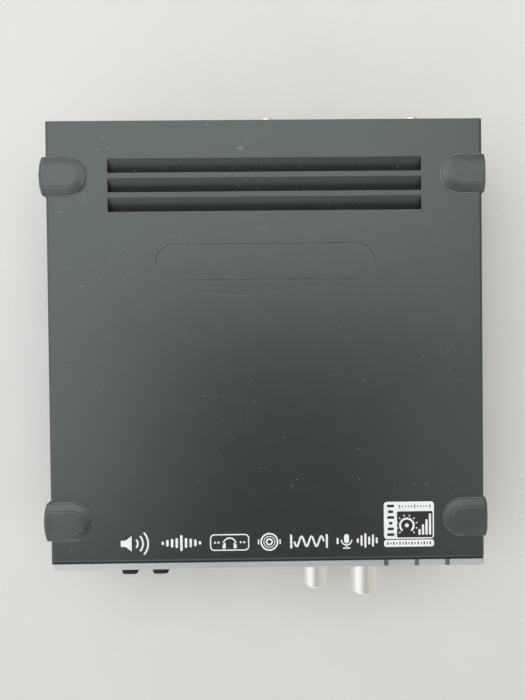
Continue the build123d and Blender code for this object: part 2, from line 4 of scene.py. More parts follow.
import bmesh
import bpy
import numpy as np
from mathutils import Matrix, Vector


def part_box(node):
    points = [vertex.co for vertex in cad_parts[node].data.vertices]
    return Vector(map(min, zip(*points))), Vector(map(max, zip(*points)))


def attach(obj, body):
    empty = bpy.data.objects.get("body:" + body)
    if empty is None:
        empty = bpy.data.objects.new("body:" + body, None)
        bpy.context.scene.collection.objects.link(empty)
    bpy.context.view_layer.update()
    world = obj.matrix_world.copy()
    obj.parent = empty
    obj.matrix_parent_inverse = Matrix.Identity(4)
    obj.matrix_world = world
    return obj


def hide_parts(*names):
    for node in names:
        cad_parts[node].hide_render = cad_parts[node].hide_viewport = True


bl_info = {
    "name": "Breakout box finish",
    "version": (1, 0, 0),
    "blender": (4, 5, 0),
    "location": "View3D > Sidebar > Breakout box",
    "description": "Finishes and fine detail of the external breakout box of a sound card",
    "category": "Object",
}

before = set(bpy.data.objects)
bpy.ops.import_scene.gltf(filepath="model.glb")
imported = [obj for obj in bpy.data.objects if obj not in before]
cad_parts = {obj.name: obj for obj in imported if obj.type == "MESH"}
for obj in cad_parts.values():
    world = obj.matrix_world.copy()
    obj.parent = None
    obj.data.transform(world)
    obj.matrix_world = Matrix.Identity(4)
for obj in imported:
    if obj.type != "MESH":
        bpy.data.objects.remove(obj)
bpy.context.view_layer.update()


def node_box(node):
    """Lowest and highest corner of a solid as arrays."""
    low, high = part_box(node)
    return np.array(low), np.array(high)


def node_middle(node):
    """Middle of a solid's box."""
    low, high = node_box(node)
    return (low + high) / 2


def turned_box(node):
    """Radius and length of a solid turned about a front-to-rear line, and the middles of its two ends."""
    low, high = node_box(node)
    middle = node_middle(node)
    return SimpleNamespace(
        radius=(high[0] - low[0]) / 2,
        length=high[1] - low[1],
        front=np.array((middle[0], low[1], middle[2])),
        rear=np.array((middle[0], high[1], middle[2])),
    )


MM = 0.001
WELD = 1e-7
CREASE_ANGLE = math.radians(32.0)
cover_low, cover_high = node_box("top_cover")
COVER_TOP = cover_high[2]
SEAM_LINE = node_box("fascia_carrier")[0][1]

# World directions of a turned piece's own three axes, the last one being the axis that it turns about
TURN_AXES = {
    "front": np.array(((1.0, 0.0, 0.0), (0.0, 0.0, 1.0), (0.0, -1.0, 0.0))),
    "rear": np.array(((-1.0, 0.0, 0.0), (0.0, 0.0, 1.0), (0.0, 1.0, 0.0))),
    "left": np.array(((0.0, -1.0, 0.0), (0.0, 0.0, 1.0), (-1.0, 0.0, 0.0))),
    "right": np.array(((0.0, 1.0, 0.0), (0.0, 0.0, 1.0), (1.0, 0.0, 0.0))),
}

# Scuffs on the cover: a long arc, a rubbed spot and a faint ring; a fade is where one starts and is full
SCUFF_CENTRE = (-9.75 * MM, 126.7 * MM, 0.0)
SCUFF_RADIUS = 102.6 * MM
SCUFF_FADE = (0.45 * MM, 0.1 * MM)
SCUFF_END_FADE = (20 * MM, 14 * MM)
SCUFF_STRENGTH = (0.1, 0.32)
SCUFF_PATCH = 2.5 * MM
RUB_CENTRE = (-10.1 * MM, 86.1 * MM, 0.0)
RUB_FADE = (1.9 * MM, 0.3 * MM)
RUB_PATCH = 1.1 * MM
RING_CENTRE = (-6.5 * MM, 87.7 * MM, 0.0)
RING_RADIUS = 1.5 * MM
RING_FADE = (0.6 * MM, 0.1 * MM)
RING_STRENGTH = (0.0, 0.55)

# Dust: the sizes, shades and chances of specks, and the heights of the cover's hollows and of ledges on it;
# the thick film in the hollows is partly painted light that lightens the louvre floors
SPECK_SIZES = (0.25, 1.0)
SPECK_SHADES = (0.15, 0.9)
SPECK_CHANCES = (0.04, 0.34)
SPECK_PATCH = 24 * MM
FILM_PATCH = 9 * MM
FACING_UP = (0.55, 0.9)
HOLLOW_SPECK_GAIN = 1.5
HOLLOW_CHANCE = 0.5
HOLLOW_DUST_AND_LIGHT = 6.0
LEDGE_PALENESS = (2.0, 18.0)
LEDGE_PATCH = 5 * MM
HOLLOW_START = COVER_TOP - 0.4 * MM
HOLLOW_FULL = COVER_TOP - 3.5 * MM
LEDGE_LOW = COVER_TOP + 0.05 * MM
LEDGE_FULL = COVER_TOP + 0.2 * MM
LEDGE_END = COVER_TOP + 0.35 * MM

# Coatings: what grain, wear and dust do to the roughness, how well dust covers (with the painted light in
# the hollows), edges and scratches
ROUGH_PLAY = 0.05
WEAR_POLISH = 0.08
DUST_DULLING = 0.3
SPECK_COVER = 0.6
SPECK_SHARE = 0.1
FILM_COVER = 0.012
EDGE_COSINES = (0.995, 0.86)
SCRATCH_SLANTS = (0.35, -0.9)
SCRATCH_PATCH = 30 * MM

# Bumpers: share of the reach at the side that the rim has, and the lines along runs, bends and ends
SIDE_RIM = 0.5
RUN_LINES = 9
BEND_LINES = 13
END_LINES = 49

# Knobs: the end's share of the base, the bore, the dished end and the painted dimple
KNOB_TAPERS = {"level": 0.891, "volume": 0.889}
KNOB_BORE = 2.52 * MM
KNOB_END_WALL = 2.5 * MM
KNOB_EDGE = 0.1 * MM
KNOB_BACK_EDGE = 0.25 * MM
KNOB_DISH = 0.22 * MM
KNOB_DOT = 0.9 * MM
KNOB_DOT_DEPTH = 0.4 * MM
KNOB_DOT_PLACE = 0.62
KNOB_PAINT_BAND = 1.0 * MM
KNOB_METAL = 0.92
FACE_RINGS = 60
LATHE_PITCH = 0.09 * MM
LATHE_SLANT = 0.7
LATHE_DEPTH = 0.004 * MM
LATHE_FINER = 0.05
LATHE_COARSER = 0.07
KNOB_SHADES = (0.93, 1.06)

# Jacks
BARREL_BORE = 3.25 * MM
BARREL_CHAMFER = 0.35 * MM
BARREL_MOUTH = 0.25 * MM
THREAD_START = 2.0 * MM
THREAD_DEPTH = 0.30 * MM
THREAD_RINGS = 110
NUT_PLAY = 0.05 * MM
NUT_CHAMFER = 0.35 * MM
FLUTES = 36
FLUTE_DEPTH = 0.16 * MM
FLUTE_RINGS = 8

# Phono and link sockets
SLEEVE_OUTER = 4.15 * MM
SLEEVE_INNER = 3.55 * MM
SLEEVE_ROLL = 0.28 * MM
FLANGE_FROM = 1.0 * MM
FLANGE_THICK = 0.8 * MM
PHONO_CONTACT = {"outer": 1.59 * MM, "inner": 1.3 * MM, "length": 5.0 * MM}
PHONO_CONTACT_DEPTH = 0.6 * MM
LINK_CONTACT = {"outer": 0.59 * MM, "inner": 0.42 * MM, "length": 3.0 * MM}
LINK_CONTACT_DEPTH = 0.35 * MM
LINK_PITCH = 2.76 * MM
LINK_ROWS_APART = 2.84 * MM
LINK_COLUMNS = 13

# Cover screws: the shank, and the cross with its arms as shares of the head's radius
SHANK_RADIUS = 1.25 * MM
SHANK_LENGTH = 4.6 * MM
SHANK_TIP = 0.3 * MM
HEAD_EDGE = 0.1 * MM
CROSS_FIELD = 0.72
CROSS_RINGS = 44
CROSS_ARM = 0.60
CROSS_ARM_HALF = 0.13
CROSS_DEPTH = 0.9 * MM
CROSS_WALL = 0.12 * MM

# Boards: tracks and vias as shares of the cells that they lie in, and the leads of the chips
TRACK_PITCH = 3.2 * MM
TRACK_FADE = (0.10, 0.06)
TRACK_GAIN = 1.9
TRACK_HEIGHT = 0.03 * MM
VIA_PITCH = 6.5 * MM
VIA_FADE = (0.09, 0.07)
BOARD_ROUGHNESS = (0.28, 0.42)
LEAD_WAVE = 0.08 * MM
LEAD_FADE = (0.2, 0.4)
LEAD_HEIGHT = 0.31 * MM

# Colours that stay out of the panel
# Greenish tint on the reflections of the cover and the bumpers: painted colour of the window light
WINDOW_LIGHT_TINT = (0.88, 1.0, 0.94)
DUST_AND_LIGHT_COLOUR = (0.42, 0.43, 0.42)
WORN_PAINT = (0.11, 0.12, 0.115)
CARRIER_BLACK = (0.008, 0.009, 0.009)
WORN_SILVER = (0.85, 0.86, 0.85)
LENS_GREY = (0.30, 0.33, 0.31)
WORN_RUBBER = (0.15, 0.16, 0.155)
DOT_PAINT = (0.035, 0.038, 0.040)
SHAFT_STEEL = (0.55, 0.55, 0.54)
CONTROL_GREY = (0.05, 0.055, 0.06)
NICKEL = (0.66, 0.65, 0.61)
BLACK_PLASTIC = (0.012, 0.012, 0.013)
PALE_CHIP = (0.03, 0.03, 0.031)
SOCKET_BLACK = (0.012, 0.013, 0.013)
PLUG_BLACK = (0.007, 0.008, 0.010)
WORN_PLUG = (0.05, 0.055, 0.06)
CORE_WHITE = (0.70, 0.68, 0.62)
LINK_PLATING = (0.60, 0.60, 0.57)
WORN_PLATING = (0.75, 0.75, 0.73)
INSERT_BLACK = (0.014, 0.015, 0.016)
SCREW_BLACK = (0.030, 0.031, 0.032)
WORN_SCREW = (0.35, 0.35, 0.34)
PLATED_STEEL = (0.58, 0.57, 0.53)
BRASS = (0.70, 0.55, 0.27)
CAN_ALUMINIUM = (0.62, 0.63, 0.64)
REGULATOR_BLACK = (0.02, 0.02, 0.021)
SOLDER = (0.55, 0.56, 0.55)
TINNED_LEAD = (0.62, 0.62, 0.60)

# Stage: each soft light's name, place, size and colour, and the setting with its power
LIGHTS = (
    ("Window light", (-0.15, 0.59, 1.05), (1.7, 1.0), (0.97, 1.0, 1.0), "window_power"),
    ("Left light", (-0.75, -0.12, 1.05), (0.9, 0.7), (0.98, 1.0, 0.99), "left_power"),
    ("Right light", (0.80, -0.25, 1.05), (0.9, 0.6), (1.0, 0.97, 0.92), "right_power"),
)
FLOOR_HALF = 4.0
FLOOR_LINES = 9
SIDE_REACH = 0.8
FRONT_BAND = (-0.7, -1.0)
FRONT_GAIN = 1.4
LOW_BAND = (0.9, 0.35)
WARM_BAND = (0.1, 0.9)
EVEN_WHITE = (1.0, 1.0, 1.0)
WARM_WHITE = (1.0, 0.89, 0.70)
NEAREST_VIEW = 0.01

# What all colour settings share
RGB = {"size": 3, "min": 0.0, "max": 1.0}


class BreakoutFinish(bpy.types.PropertyGroup):
    """Colours of the finishes."""

    cover_colour: bpy.props.FloatVectorProperty(
        name="Cover paint", description="Satin paint of the cover and the tray",
        subtype="COLOR", default=(0.0155, 0.0176, 0.0163), **RGB,
    )
    bumper_colour: bpy.props.FloatVectorProperty(
        name="Bumper rubber", description="Matte rubber of the four bumpers",
        subtype="COLOR", default=(0.0255, 0.0282, 0.0265), **RGB,
    )
    fascia_colour: bpy.props.FloatVectorProperty(
        name="Fascia silver", description="Silver lacquer of the front plate",
        subtype="COLOR", default=(0.595, 0.645, 0.640), **RGB,
    )
    inlay_colour: bpy.props.FloatVectorProperty(
        name="Inlay grey", description="Dark strips let into the front plate",
        subtype="COLOR", default=(0.115, 0.130, 0.122), **RGB,
    )
    knob_colour: bpy.props.FloatVectorProperty(
        name="Knob silver", description="Turned metal of the two knobs",
        subtype="COLOR", default=(0.930, 0.940, 0.915), **RGB,
    )
    gold_colour: bpy.props.FloatVectorProperty(
        name="Contact gold", description="Gold plating of sockets and contacts",
        subtype="COLOR", default=(0.800, 0.710, 0.470), **RGB,
    )
    ink_colour: bpy.props.FloatVectorProperty(
        name="White ink", description="Marks printed on the cover",
        subtype="COLOR", default=(0.850, 0.880, 0.860), **RGB,
    )
    board_colour: bpy.props.FloatVectorProperty(
        name="Board green", description="Solder mask of the circuit boards",
        subtype="COLOR", default=(0.020, 0.105, 0.055), **RGB,
    )


class BreakoutDetail(bpy.types.PropertyGroup):
    """Sizes of the fine detail."""

    bumper_pad: bpy.props.FloatProperty(
        name="Bumper pad", description="Width of the flat on top of a bumper",
        unit="LENGTH", default=9.5 * MM,
    )
    bumper_rim: bpy.props.FloatProperty(
        name="Bumper rim", description="Height of a bumper's upright rim",
        unit="LENGTH", default=0.7 * MM,
    )
    bumper_crease: bpy.props.FloatProperty(
        name="Bumper crease", description="Width of the crease round the flat of a bumper",
        unit="LENGTH", default=0.35 * MM,
    )
    bumper_left: bpy.props.FloatProperty(
        name="Left bumpers", description="How far the bumpers stand out from the left side",
        unit="LENGTH", default=2.5 * MM,
    )
    bumper_right: bpy.props.FloatProperty(
        name="Right bumpers", description="How far the bumpers stand out from the right side",
        unit="LENGTH", default=0.9 * MM,
    )
    bumper_lip: bpy.props.FloatProperty(
        name="Bumper lip", description="Reach of the thin lip round a bumper's foot",
        unit="LENGTH", default=0.35 * MM,
    )
    knob_rim: bpy.props.FloatProperty(
        name="Knob rim", description="Rounding at the end of a knob",
        unit="LENGTH", default=0.85 * MM,
    )
    thread_pitch: bpy.props.FloatProperty(
        name="Thread pitch", description="Pitch of the thread on the jack barrels",
        unit="LENGTH", default=0.79 * MM,
    )
    ink_height: bpy.props.FloatProperty(
        name="Ink height", description="How far the print stands above the paint",
        unit="LENGTH", default=0.03 * MM,
    )
    mark_from_seam: bpy.props.FloatProperty(
        name="Marks from seam", description="Distance of the row of marks behind the front seam",
        unit="LENGTH", default=8.5 * MM,
    )
    badge_from_seam: bpy.props.FloatProperty(
        name="Badge from seam", description="Distance of the badge's middle behind the front seam",
        unit="LENGTH", default=15.2 * MM,
    )
    badge_place: bpy.props.FloatProperty(
        name="Badge place", description="Distance of the badge from the middle, to the right",
        unit="LENGTH", default=60.0 * MM,
    )


class BreakoutStage(bpy.types.PropertyGroup):
    """Floor, light and camera."""

    floor_colour: bpy.props.FloatVectorProperty(
        name="Floor", description="Plain pale floor",
        subtype="COLOR", default=(0.74, 0.73, 0.71), **RGB,
    )
    zenith_light: bpy.props.FloatProperty(
        name="Light overhead", description="Brightness of the surroundings straight above",
        default=0.11,
    )
    left_horizon: bpy.props.FloatProperty(
        name="Light at the left", description="Brightness of the surroundings low on the left",
        default=1.15,
    )
    right_horizon: bpy.props.FloatProperty(
        name="Light at the right", description="Brightness of the surroundings low on the right",
        default=0.65,
    )
    window_power: bpy.props.FloatProperty(
        name="Window light", description="Wide soft light above the rear", unit="POWER", default=10.0,
    )
    left_power: bpy.props.FloatProperty(
        name="Left light", description="Soft light above the left", unit="POWER", default=3.6,
    )
    right_power: bpy.props.FloatProperty(
        name="Right light", description="Weak soft light above the right", unit="POWER", default=1.5,
    )
    camera_height: bpy.props.FloatProperty(
        name="Camera height", description="Height of the camera above the cover",
        unit="LENGTH", default=222.47 * MM,
    )
    camera_side: bpy.props.FloatProperty(
        name="Camera side", description="Place of the camera to the right of the middle",
        unit="LENGTH", default=-3.556 * MM,
    )
    camera_depth: bpy.props.FloatProperty(
        name="Camera depth", description="Place of the camera behind the middle",
        unit="LENGTH", default=3.532 * MM,
    )
    camera_tilt: bpy.props.FloatVectorProperty(
        name="Camera tilt", description="Turn of the camera from looking straight down",
        subtype="EULER", size=3,
        default=(math.radians(-0.659), math.radians(-0.5), math.radians(-0.618)),
    )
    camera_lens: bpy.props.FloatProperty(
        name="Lens", description="Focal length in millimetres for a 36 mm frame", default=27.0,
    )


# Surfaces


def grid_quads(rows, columns, close_rows=False, close_columns=False):
    """Quads between neighbours of a grid; a closed direction joins its last line to its first."""
    index = np.arange(rows * columns).reshape(rows, columns)
    if close_rows:
        index = np.vstack((index, index[:1]))
    if close_columns:
        index = np.hstack((index, index[:, :1]))
    corners = (index[:-1, :-1], index[1:, :-1], index[1:, 1:], index[:-1, 1:])
    return np.stack(corners, axis=-1).reshape(-1, 4)


def soften(corners, reaches, steps=6):
    """Open outline whose inner corners become short parabolas, each starting its reach before its corner."""
    corners = np.asarray(corners, float)
    t = np.linspace(0.0, 1.0, steps)[:, None]
    runs = [corners[:1]]
    for before, corner, after, reach in zip(corners[:-2], corners[1:-1], corners[2:], reaches):
        start = corner + (before - corner) * reach / np.linalg.norm(before - corner)
        end = corner + (after - corner) * reach / np.linalg.norm(after - corner)
        runs.append((1 - t) ** 2 * start + 2 * t * (1 - t) * corner + t ** 2 * end)
    runs.append(corners[-1:])
    return np.vstack(runs)


def level_line(values, level):
    """Profile points of the given values, all at one level."""
    return np.column_stack((values, np.full(values.shape, level)))


def turned(profile, origin, axis, steps=96, closed=False, ripple=None, lift=None):
    """Surface of revolution: every (radius, along) point of the profile goes round the axis.

    ripple and lift are functions of radius, along and angle that are added to the radius and to
    the distance along the axis.
    """
    angle = np.linspace(0.0, 2.0 * np.pi, steps, endpoint=False)[None, :]
    radius = profile[:, :1] + 0.0 * angle
    along = profile[:, 1:] + 0.0 * angle
    if ripple:
        radius = radius + ripple(radius, along, angle)
    if lift:
        along = along + lift(radius, along, angle)
    local = np.stack((radius * np.cos(angle), radius * np.sin(angle), along), axis=-1)
    points = np.asarray(origin) + local @ TURN_AXES[axis]
    return points, grid_quads(*radius.shape, close_rows=closed, close_columns=True)


def rounded_rectangle(x, y, width, height, corner, steps=40):
    """Closed outline: a circle of the corner's radius whose quarters are pulled apart."""
    angle = (np.arange(steps) + 0.5) * 2.0 * np.pi / steps
    across = np.sign(np.cos(angle)) * (width / 2 - corner) + corner * np.cos(angle)
    upward = np.sign(np.sin(angle)) * (height / 2 - corner) + corner * np.sin(angle)
    return np.stack((x + across, y + upward), axis=-1)


def arc(x, y, radius, start, end, steps=40):
    """Open path: part of a circle between two angles in degrees."""
    angle = np.radians(np.linspace(start, end, steps))
    return np.stack((x + radius * np.cos(angle), y + radius * np.sin(angle)), axis=-1)


def plate(outline, low, high):
    """Flat plate: the outline at two heights, each closed to the outline's middle."""
    middle = np.broadcast_to(outline.mean(axis=0), outline.shape)
    rows = ((middle, low), (outline, low), (outline, high), (middle, high))
    points = np.stack([np.column_stack((xy, np.full(len(xy), z))) for xy, z in rows])
    return points, grid_quads(*points.shape[:2], close_columns=True)


def strip(path, width, low, high, closed=False):
    """Flat bar: a rectangle of one width carried along a path in the plane."""
    if closed:
        along = np.roll(path, -1, axis=0) - np.roll(path, 1, axis=0)
    else:
        along = np.gradient(path, axis=0)
    along = along / np.linalg.norm(along, axis=1, keepdims=True)
    side = np.stack((-along[:, 1], along[:, 0]), axis=-1) * width / 2
    corners = ((path + side, low), (path + side, high), (path - side, high), (path - side, low))
    points = np.stack([np.column_stack((xy, np.full(len(xy), z))) for xy, z in corners], axis=1)
    quads = grid_quads(*points.shape[:2], close_rows=closed, close_columns=True)
    if not closed:
        last = 4 * (len(path) - 1)
        quads = np.vstack((quads, (3, 2, 1, 0), (last, last + 1, last + 2, last + 3)))
    return points, quads


def make_piece(name, parts, material, body="case", replaced=()):
    """One object from closed surfaces, each welded at its seams and turned outwards."""
    whole = bmesh.new()
    for points, quads in parts:
        mesh = bpy.data.meshes.new(name)
        mesh.from_pydata(points.reshape(-1, 3).tolist(), [], quads.tolist())
        single = bmesh.new()
        single.from_mesh(mesh)
        bmesh.ops.remove_doubles(single, verts=single.verts, dist=WELD)
        bmesh.ops.recalc_face_normals(single, faces=single.faces)
        single.to_mesh(mesh)
        single.free()
        whole.from_mesh(mesh)
        bpy.data.meshes.remove(mesh)
    mesh = bpy.data.meshes.new(name)
    whole.to_mesh(mesh)
    whole.free()
    mesh.shade_smooth()
    mesh.set_sharp_from_angle(angle=CREASE_ANGLE)
    mesh.materials.append(material)
    piece = bpy.data.objects.new(name, mesh)
    bpy.context.scene.collection.objects.link(piece)
    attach(piece, body)
    if replaced:
        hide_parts(*replaced)
    return piece


def dress(material, *nodes):
    """Gives solids of the frame their finish."""
    for node in nodes:
        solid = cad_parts[node]
        if not solid.material_slots:
            solid.data.materials.append(material)
        for place in solid.material_slots:
            place.material = material


# Shader nodes


class Nodes:
    """Node tree with short ways to add what the finishes need.

    An input is a plain value or the socket that feeds it.
    """

    def __init__(self, tree):
        self.tree = tree

    def put(self, kind, inputs, **settings):
        """Adds one node."""
        node = self.tree.nodes.new(kind)
        for key, value in settings.items():
            setattr(node, key, value)
        for key, value in inputs.items():
            if isinstance(value, bpy.types.NodeSocket):
                self.tree.links.new(value, node.inputs[key])
            else:
                node.inputs[key].default_value = value
        return node

    def maths(self, operation, first, second=0.0):
        """One operation on two values."""
        return self.put("ShaderNodeMath", {0: first, 1: second}, operation=operation).outputs[0]

    def plus(self, first, second):
        """Two values added."""
        return self.maths("ADD", first, second)

    def times(self, first, second):
        """Two values multiplied."""
        return self.maths("MULTIPLY", first, second)

    def off(self, value, target):
        """How far a value is from a target, either way."""
        return self.maths("ABSOLUTE", self.maths("SUBTRACT", value, target))

    def step(self, value, low, high, start=0.0, end=1.0):
        """Smooth step of a value from start, at low, to end, at high."""
        inputs = {"Value": value, "From Min": low, "From Max": high, "To Min": start, "To Max": end}
        return self.put("ShaderNodeMapRange", inputs, interpolation_type="SMOOTHSTEP").outputs[0]

    def mix(self, factor, first, second):
        """Colour between two, by a factor."""
        pair = [c if isinstance(c, bpy.types.NodeSocket) else (*c, 1.0) for c in (first, second)]
        inputs = {0: factor, 6: pair[0], 7: pair[1]}
        return self.put("ShaderNodeMix", inputs, data_type="RGBA").outputs[2]

    def place(self):
        """Coordinates in metres in the object's own frame."""
        return self.put("ShaderNodeTexCoord", {}).outputs["Object"]

    def split(self, vector):
        """The three parts of a vector."""
        return self.put("ShaderNodeSeparateXYZ", {0: vector}).outputs

    def join(self, x, y, z):
        """Vector of three parts."""
        return self.put("ShaderNodeCombineXYZ", {0: x, 1: y, 2: z}).outputs[0]

    def measure(self, operation, first, second=(0.0, 0.0, 0.0)):
        """Value worked out from vectors, such as a length or a distance."""
        inputs = {0: first, 1: second}
        return self.put("ShaderNodeVectorMath", inputs, operation=operation).outputs["Value"]

    def cloud(self, place, size, detail=2.0):
        """Noise whose features are about size across, from 0 to 1."""
        inputs = {"Vector": place, "Scale": self.maths("DIVIDE", 1.0, size), "Detail": detail}
        return self.put("ShaderNodeTexNoise", inputs).outputs[0]

    def cells(self, place, scale, randomness=1.0, **settings):
        """Flat pattern of cells."""
        inputs = {"Vector": place, "Scale": scale, "Randomness": randomness}
        return self.put("ShaderNodeTexVoronoi", inputs, voronoi_dimensions="2D", **settings).outputs

    def effect(self, name, **values):
        """Places a shared effect, with its own values."""
        group = bpy.data.node_groups.get(name) or EFFECTS[name]().tree
        return self.put("ShaderNodeGroup", values, node_tree=group).outputs


class Effect(Nodes):
    """Effect that finishes share: a node group with plain value sockets."""

    def __init__(self, name, inputs, outputs):
        super().__init__(bpy.data.node_groups.new(name, "ShaderNodeTree"))
        sockets = self.tree.interface
        for socket, value in inputs.items():
            item = sockets.new_socket(socket, in_out="INPUT", socket_type="NodeSocketFloat")
            item.default_value = value
        for socket in outputs:
            sockets.new_socket(socket, in_out="OUTPUT", socket_type="NodeSocketFloat")
        self.given = self.put("NodeGroupInput", {}).outputs

    def give(self, **results):
        """Sends the results out of the group."""
        self.put("NodeGroupOutput", results)
        return self


class Finish(Nodes):
    """Material with one shader, whose even values stand on its own sockets."""

    def __init__(self, name, roughness, metallic=0.0):
        self.material = bpy.data.materials.new(name)
        self.material.use_nodes = True
        super().__init__(self.material.node_tree)
        self.tree.nodes.clear()
        shader = self.put("ShaderNodeBsdfPrincipled", {"Roughness": roughness, "Metallic": metallic})
        self.put("ShaderNodeOutputMaterial", {"Surface": shader.outputs[0]})
        self.sockets = shader.inputs

    def feed(self, socket, source):
        """Links a source to a socket of the shader."""
        self.tree.links.new(source, self.sockets[socket])

    def complete(self, base, rough, height, distance, strength=1.0):
        """Links the colour, the roughness and the bump of a height that is distance high."""
        inputs = {"Height": height, "Strength": strength, "Distance": distance}
        bump = self.put("ShaderNodeBump", inputs).outputs[0]
        self.feed("Base Color", base)
        self.feed("Roughness", rough)
        self.feed("Normal", bump)
        return self.material


def grain_effect():
    """Fine grain of a coating, and its broad unevenness."""
    nodes = Effect("Grain", {"Size": 0.5 * MM, "Patch": 40 * MM}, ("Fine", "Broad"))
    place = nodes.place()
    fine = nodes.cloud(place, nodes.given["Size"], detail=3.0)
    broad = nodes.cloud(place, nodes.given["Patch"], detail=4.0)
    return nodes.give(Fine=fine, Broad=broad)


def wear_effect():
    """Broken line along the edges: where a rounded normal leaves the true one."""
    nodes = Effect("Edge wear", {"Radius": 0.4 * MM, "Patch": 4 * MM}, ("Mask",))
    rounded = nodes.put("ShaderNodeBevel", {"Radius": nodes.given["Radius"]}, samples=6).outputs[0]
    plain = nodes.put("ShaderNodeNewGeometry", {}).outputs["Normal"]
    edge = nodes.step(nodes.measure("DOT_PRODUCT", rounded, plain), *EDGE_COSINES)
    broken = nodes.step(nodes.cloud(nodes.place(), nodes.given["Patch"], detail=4.0), 0.38, 0.62)
    return nodes.give(Mask=nodes.times(edge, broken))


def dust_and_light_effect():
    """Specks and a thin film of dust on what faces up: one speck in some cells.

    There are more specks in patches, more of both in the hollows below the cover's top, where the
    thick film is partly painted light that lightens the louvre floors, and a broken pale line on
    ledges just above it.
    """
    nodes = Effect("Settled dust", {"Spacing": 2.6 * MM, "Speck": 0.25 * MM}, ("Specks", "Film"))
    place = nodes.place()
    height = nodes.split(place)["Z"]
    hollow = nodes.step(height, HOLLOW_START, HOLLOW_FULL)
    cells = nodes.cells(place, nodes.maths("DIVIDE", 1.0, nodes.given["Spacing"]))
    reach = nodes.times(cells["Distance"], nodes.given["Spacing"])
    chance = nodes.put("ShaderNodeSeparateColor", {0: cells["Color"]}).outputs
    size = nodes.times(nodes.given["Speck"], nodes.step(chance["Red"], 0.0, 1.0, *SPECK_SIZES))
    size = nodes.times(size, nodes.step(hollow, 0.0, 1.0, 1.0, HOLLOW_SPECK_GAIN))
    share = nodes.step(nodes.cloud(place, SPECK_PATCH, detail=3.0), 0.45, 0.75, *SPECK_CHANCES)
    share = nodes.plus(share, nodes.times(hollow, HOLLOW_CHANCE))
    chosen = nodes.maths("LESS_THAN", chance["Green"], share)
    speck = nodes.times(nodes.maths("LESS_THAN", reach, size), chosen)
    speck = nodes.times(speck, nodes.step(chance["Blue"], 0.0, 1.0, *SPECK_SHADES))
    film = nodes.step(nodes.cloud(place, FILM_PATCH, detail=6.0), 0.42, 0.8)
    # Thick film in the hollows: partly dust, partly painted light that lightens the louvre floors
    film = nodes.plus(film, nodes.times(hollow, HOLLOW_DUST_AND_LIGHT))
    # Broken pale line on ledges just above the cover's top, round the bumpers' feet
    ledge = nodes.step(height, LEDGE_END, LEDGE_FULL)
    ledge = nodes.times(ledge, nodes.maths("GREATER_THAN", height, LEDGE_LOW))
    line = nodes.step(nodes.cloud(place, LEDGE_PATCH), 0.35, 0.6, *LEDGE_PALENESS)
    film = nodes.plus(film, nodes.times(ledge, line))
    normal = nodes.put("ShaderNodeNewGeometry", {}).outputs["Normal"]
    upward = nodes.step(nodes.split(normal)["Z"], *FACING_UP)
    return nodes.give(Specks=nodes.times(speck, upward), Film=nodes.times(film, upward))


def scratch_effect():
    """Short fine scratches in patches: thin crests of noise that is stretched along two slants."""
    nodes = Effect("Scratches", {"Length": 14 * MM, "Width": 0.25 * MM}, ("Mask",))
    place = nodes.place()
    masks = []
    for slant in SCRATCH_SLANTS:
        inputs = {"Vector": place, "Rotation": (0.0, 0.0, slant)}
        axes = nodes.split(nodes.put("ShaderNodeMapping", inputs).outputs[0])
        along = nodes.maths("DIVIDE", axes["X"], nodes.given["Length"])
        across = nodes.maths("DIVIDE", axes["Y"], nodes.given["Width"])
        inputs = {"Vector": nodes.join(along, across, axes["Z"]), "Scale": 1.0, "Detail": 1.0}
        crest = nodes.put("ShaderNodeTexNoise", inputs).outputs[0]
        masks.append(nodes.step(crest, 0.70, 0.78))
    patch = nodes.step(nodes.cloud(place, SCRATCH_PATCH), 0.55, 0.72)
    return nodes.give(Mask=nodes.times(nodes.maths("MAXIMUM", *masks), patch))


EFFECTS = {
    "Grain": grain_effect,
    "Edge wear": wear_effect,
    "Settled dust": dust_and_light_effect,
    "Scratches": scratch_effect,
}


# Finishes


def shade(colour, factor):
    """The same hue, lighter or darker."""
    return tuple(min(1.0, part * factor) for part in colour)


def coated(name, colour, roughness, metallic=0.0, grain=0.5 * MM, height=0.01 * MM, spread=0.25,
           patch=40 * MM, scratches=0.0, scuffs=None, wear=0.0, worn=None, dust=0.0, fleck=2.6 * MM,
           ior=1.5, tint=EVEN_WHITE):
    """Finish with grain, and with scratches, scuffs, worn edges and dust where they are asked for.

    The colour wanders by spread with the grain and its broad patches, the grain also moves the
    roughness and the height, and the rest is laid over it in turn.
    """
    finish = Finish(name, roughness, metallic)
    finish.sockets["IOR"].default_value = ior
    finish.sockets["Specular Tint"].default_value = (*tint, 1.0)
    worn = worn or shade(colour, 3.0)
    grained = finish.effect("Grain", Size=grain, Patch=patch)
    mixed = finish.plus(finish.times(grained["Fine"], 0.5), finish.times(grained["Broad"], 0.5))
    factor = finish.step(mixed, 0.3, 0.7)
    base = finish.mix(factor, shade(colour, 1.0 - spread), shade(colour, 1.0 + spread))
    rough = finish.step(grained["Fine"], 0.25, 0.75, roughness - ROUGH_PLAY, roughness + ROUGH_PLAY)
    if scratches:
        lines = finish.times(finish.effect("Scratches")["Mask"], scratches)
        base = finish.mix(lines, base, worn)
    if scuffs:
        base = finish.mix(scuffs(finish), base, worn)
    if wear:
        edge = finish.times(finish.effect("Edge wear")["Mask"], wear)
        base = finish.mix(edge, base, worn)
        rough = finish.maths("SUBTRACT", rough, finish.times(edge, WEAR_POLISH))
    # Dust specks and film; on the cover's louvre floors the film is partly painted light
    if dust:
        dust_and_light = finish.effect("Settled dust", Spacing=fleck, Speck=SPECK_SHARE * fleck)
        film = finish.times(dust_and_light["Film"], FILM_COVER * dust)
        both = finish.maths("MAXIMUM", finish.times(dust_and_light["Specks"], SPECK_COVER), film)
        base = finish.mix(both, base, DUST_AND_LIGHT_COLOUR)
        rough = finish.plus(rough, finish.times(both, DUST_DULLING))
    return finish.complete(base, rough, grained["Fine"], height)


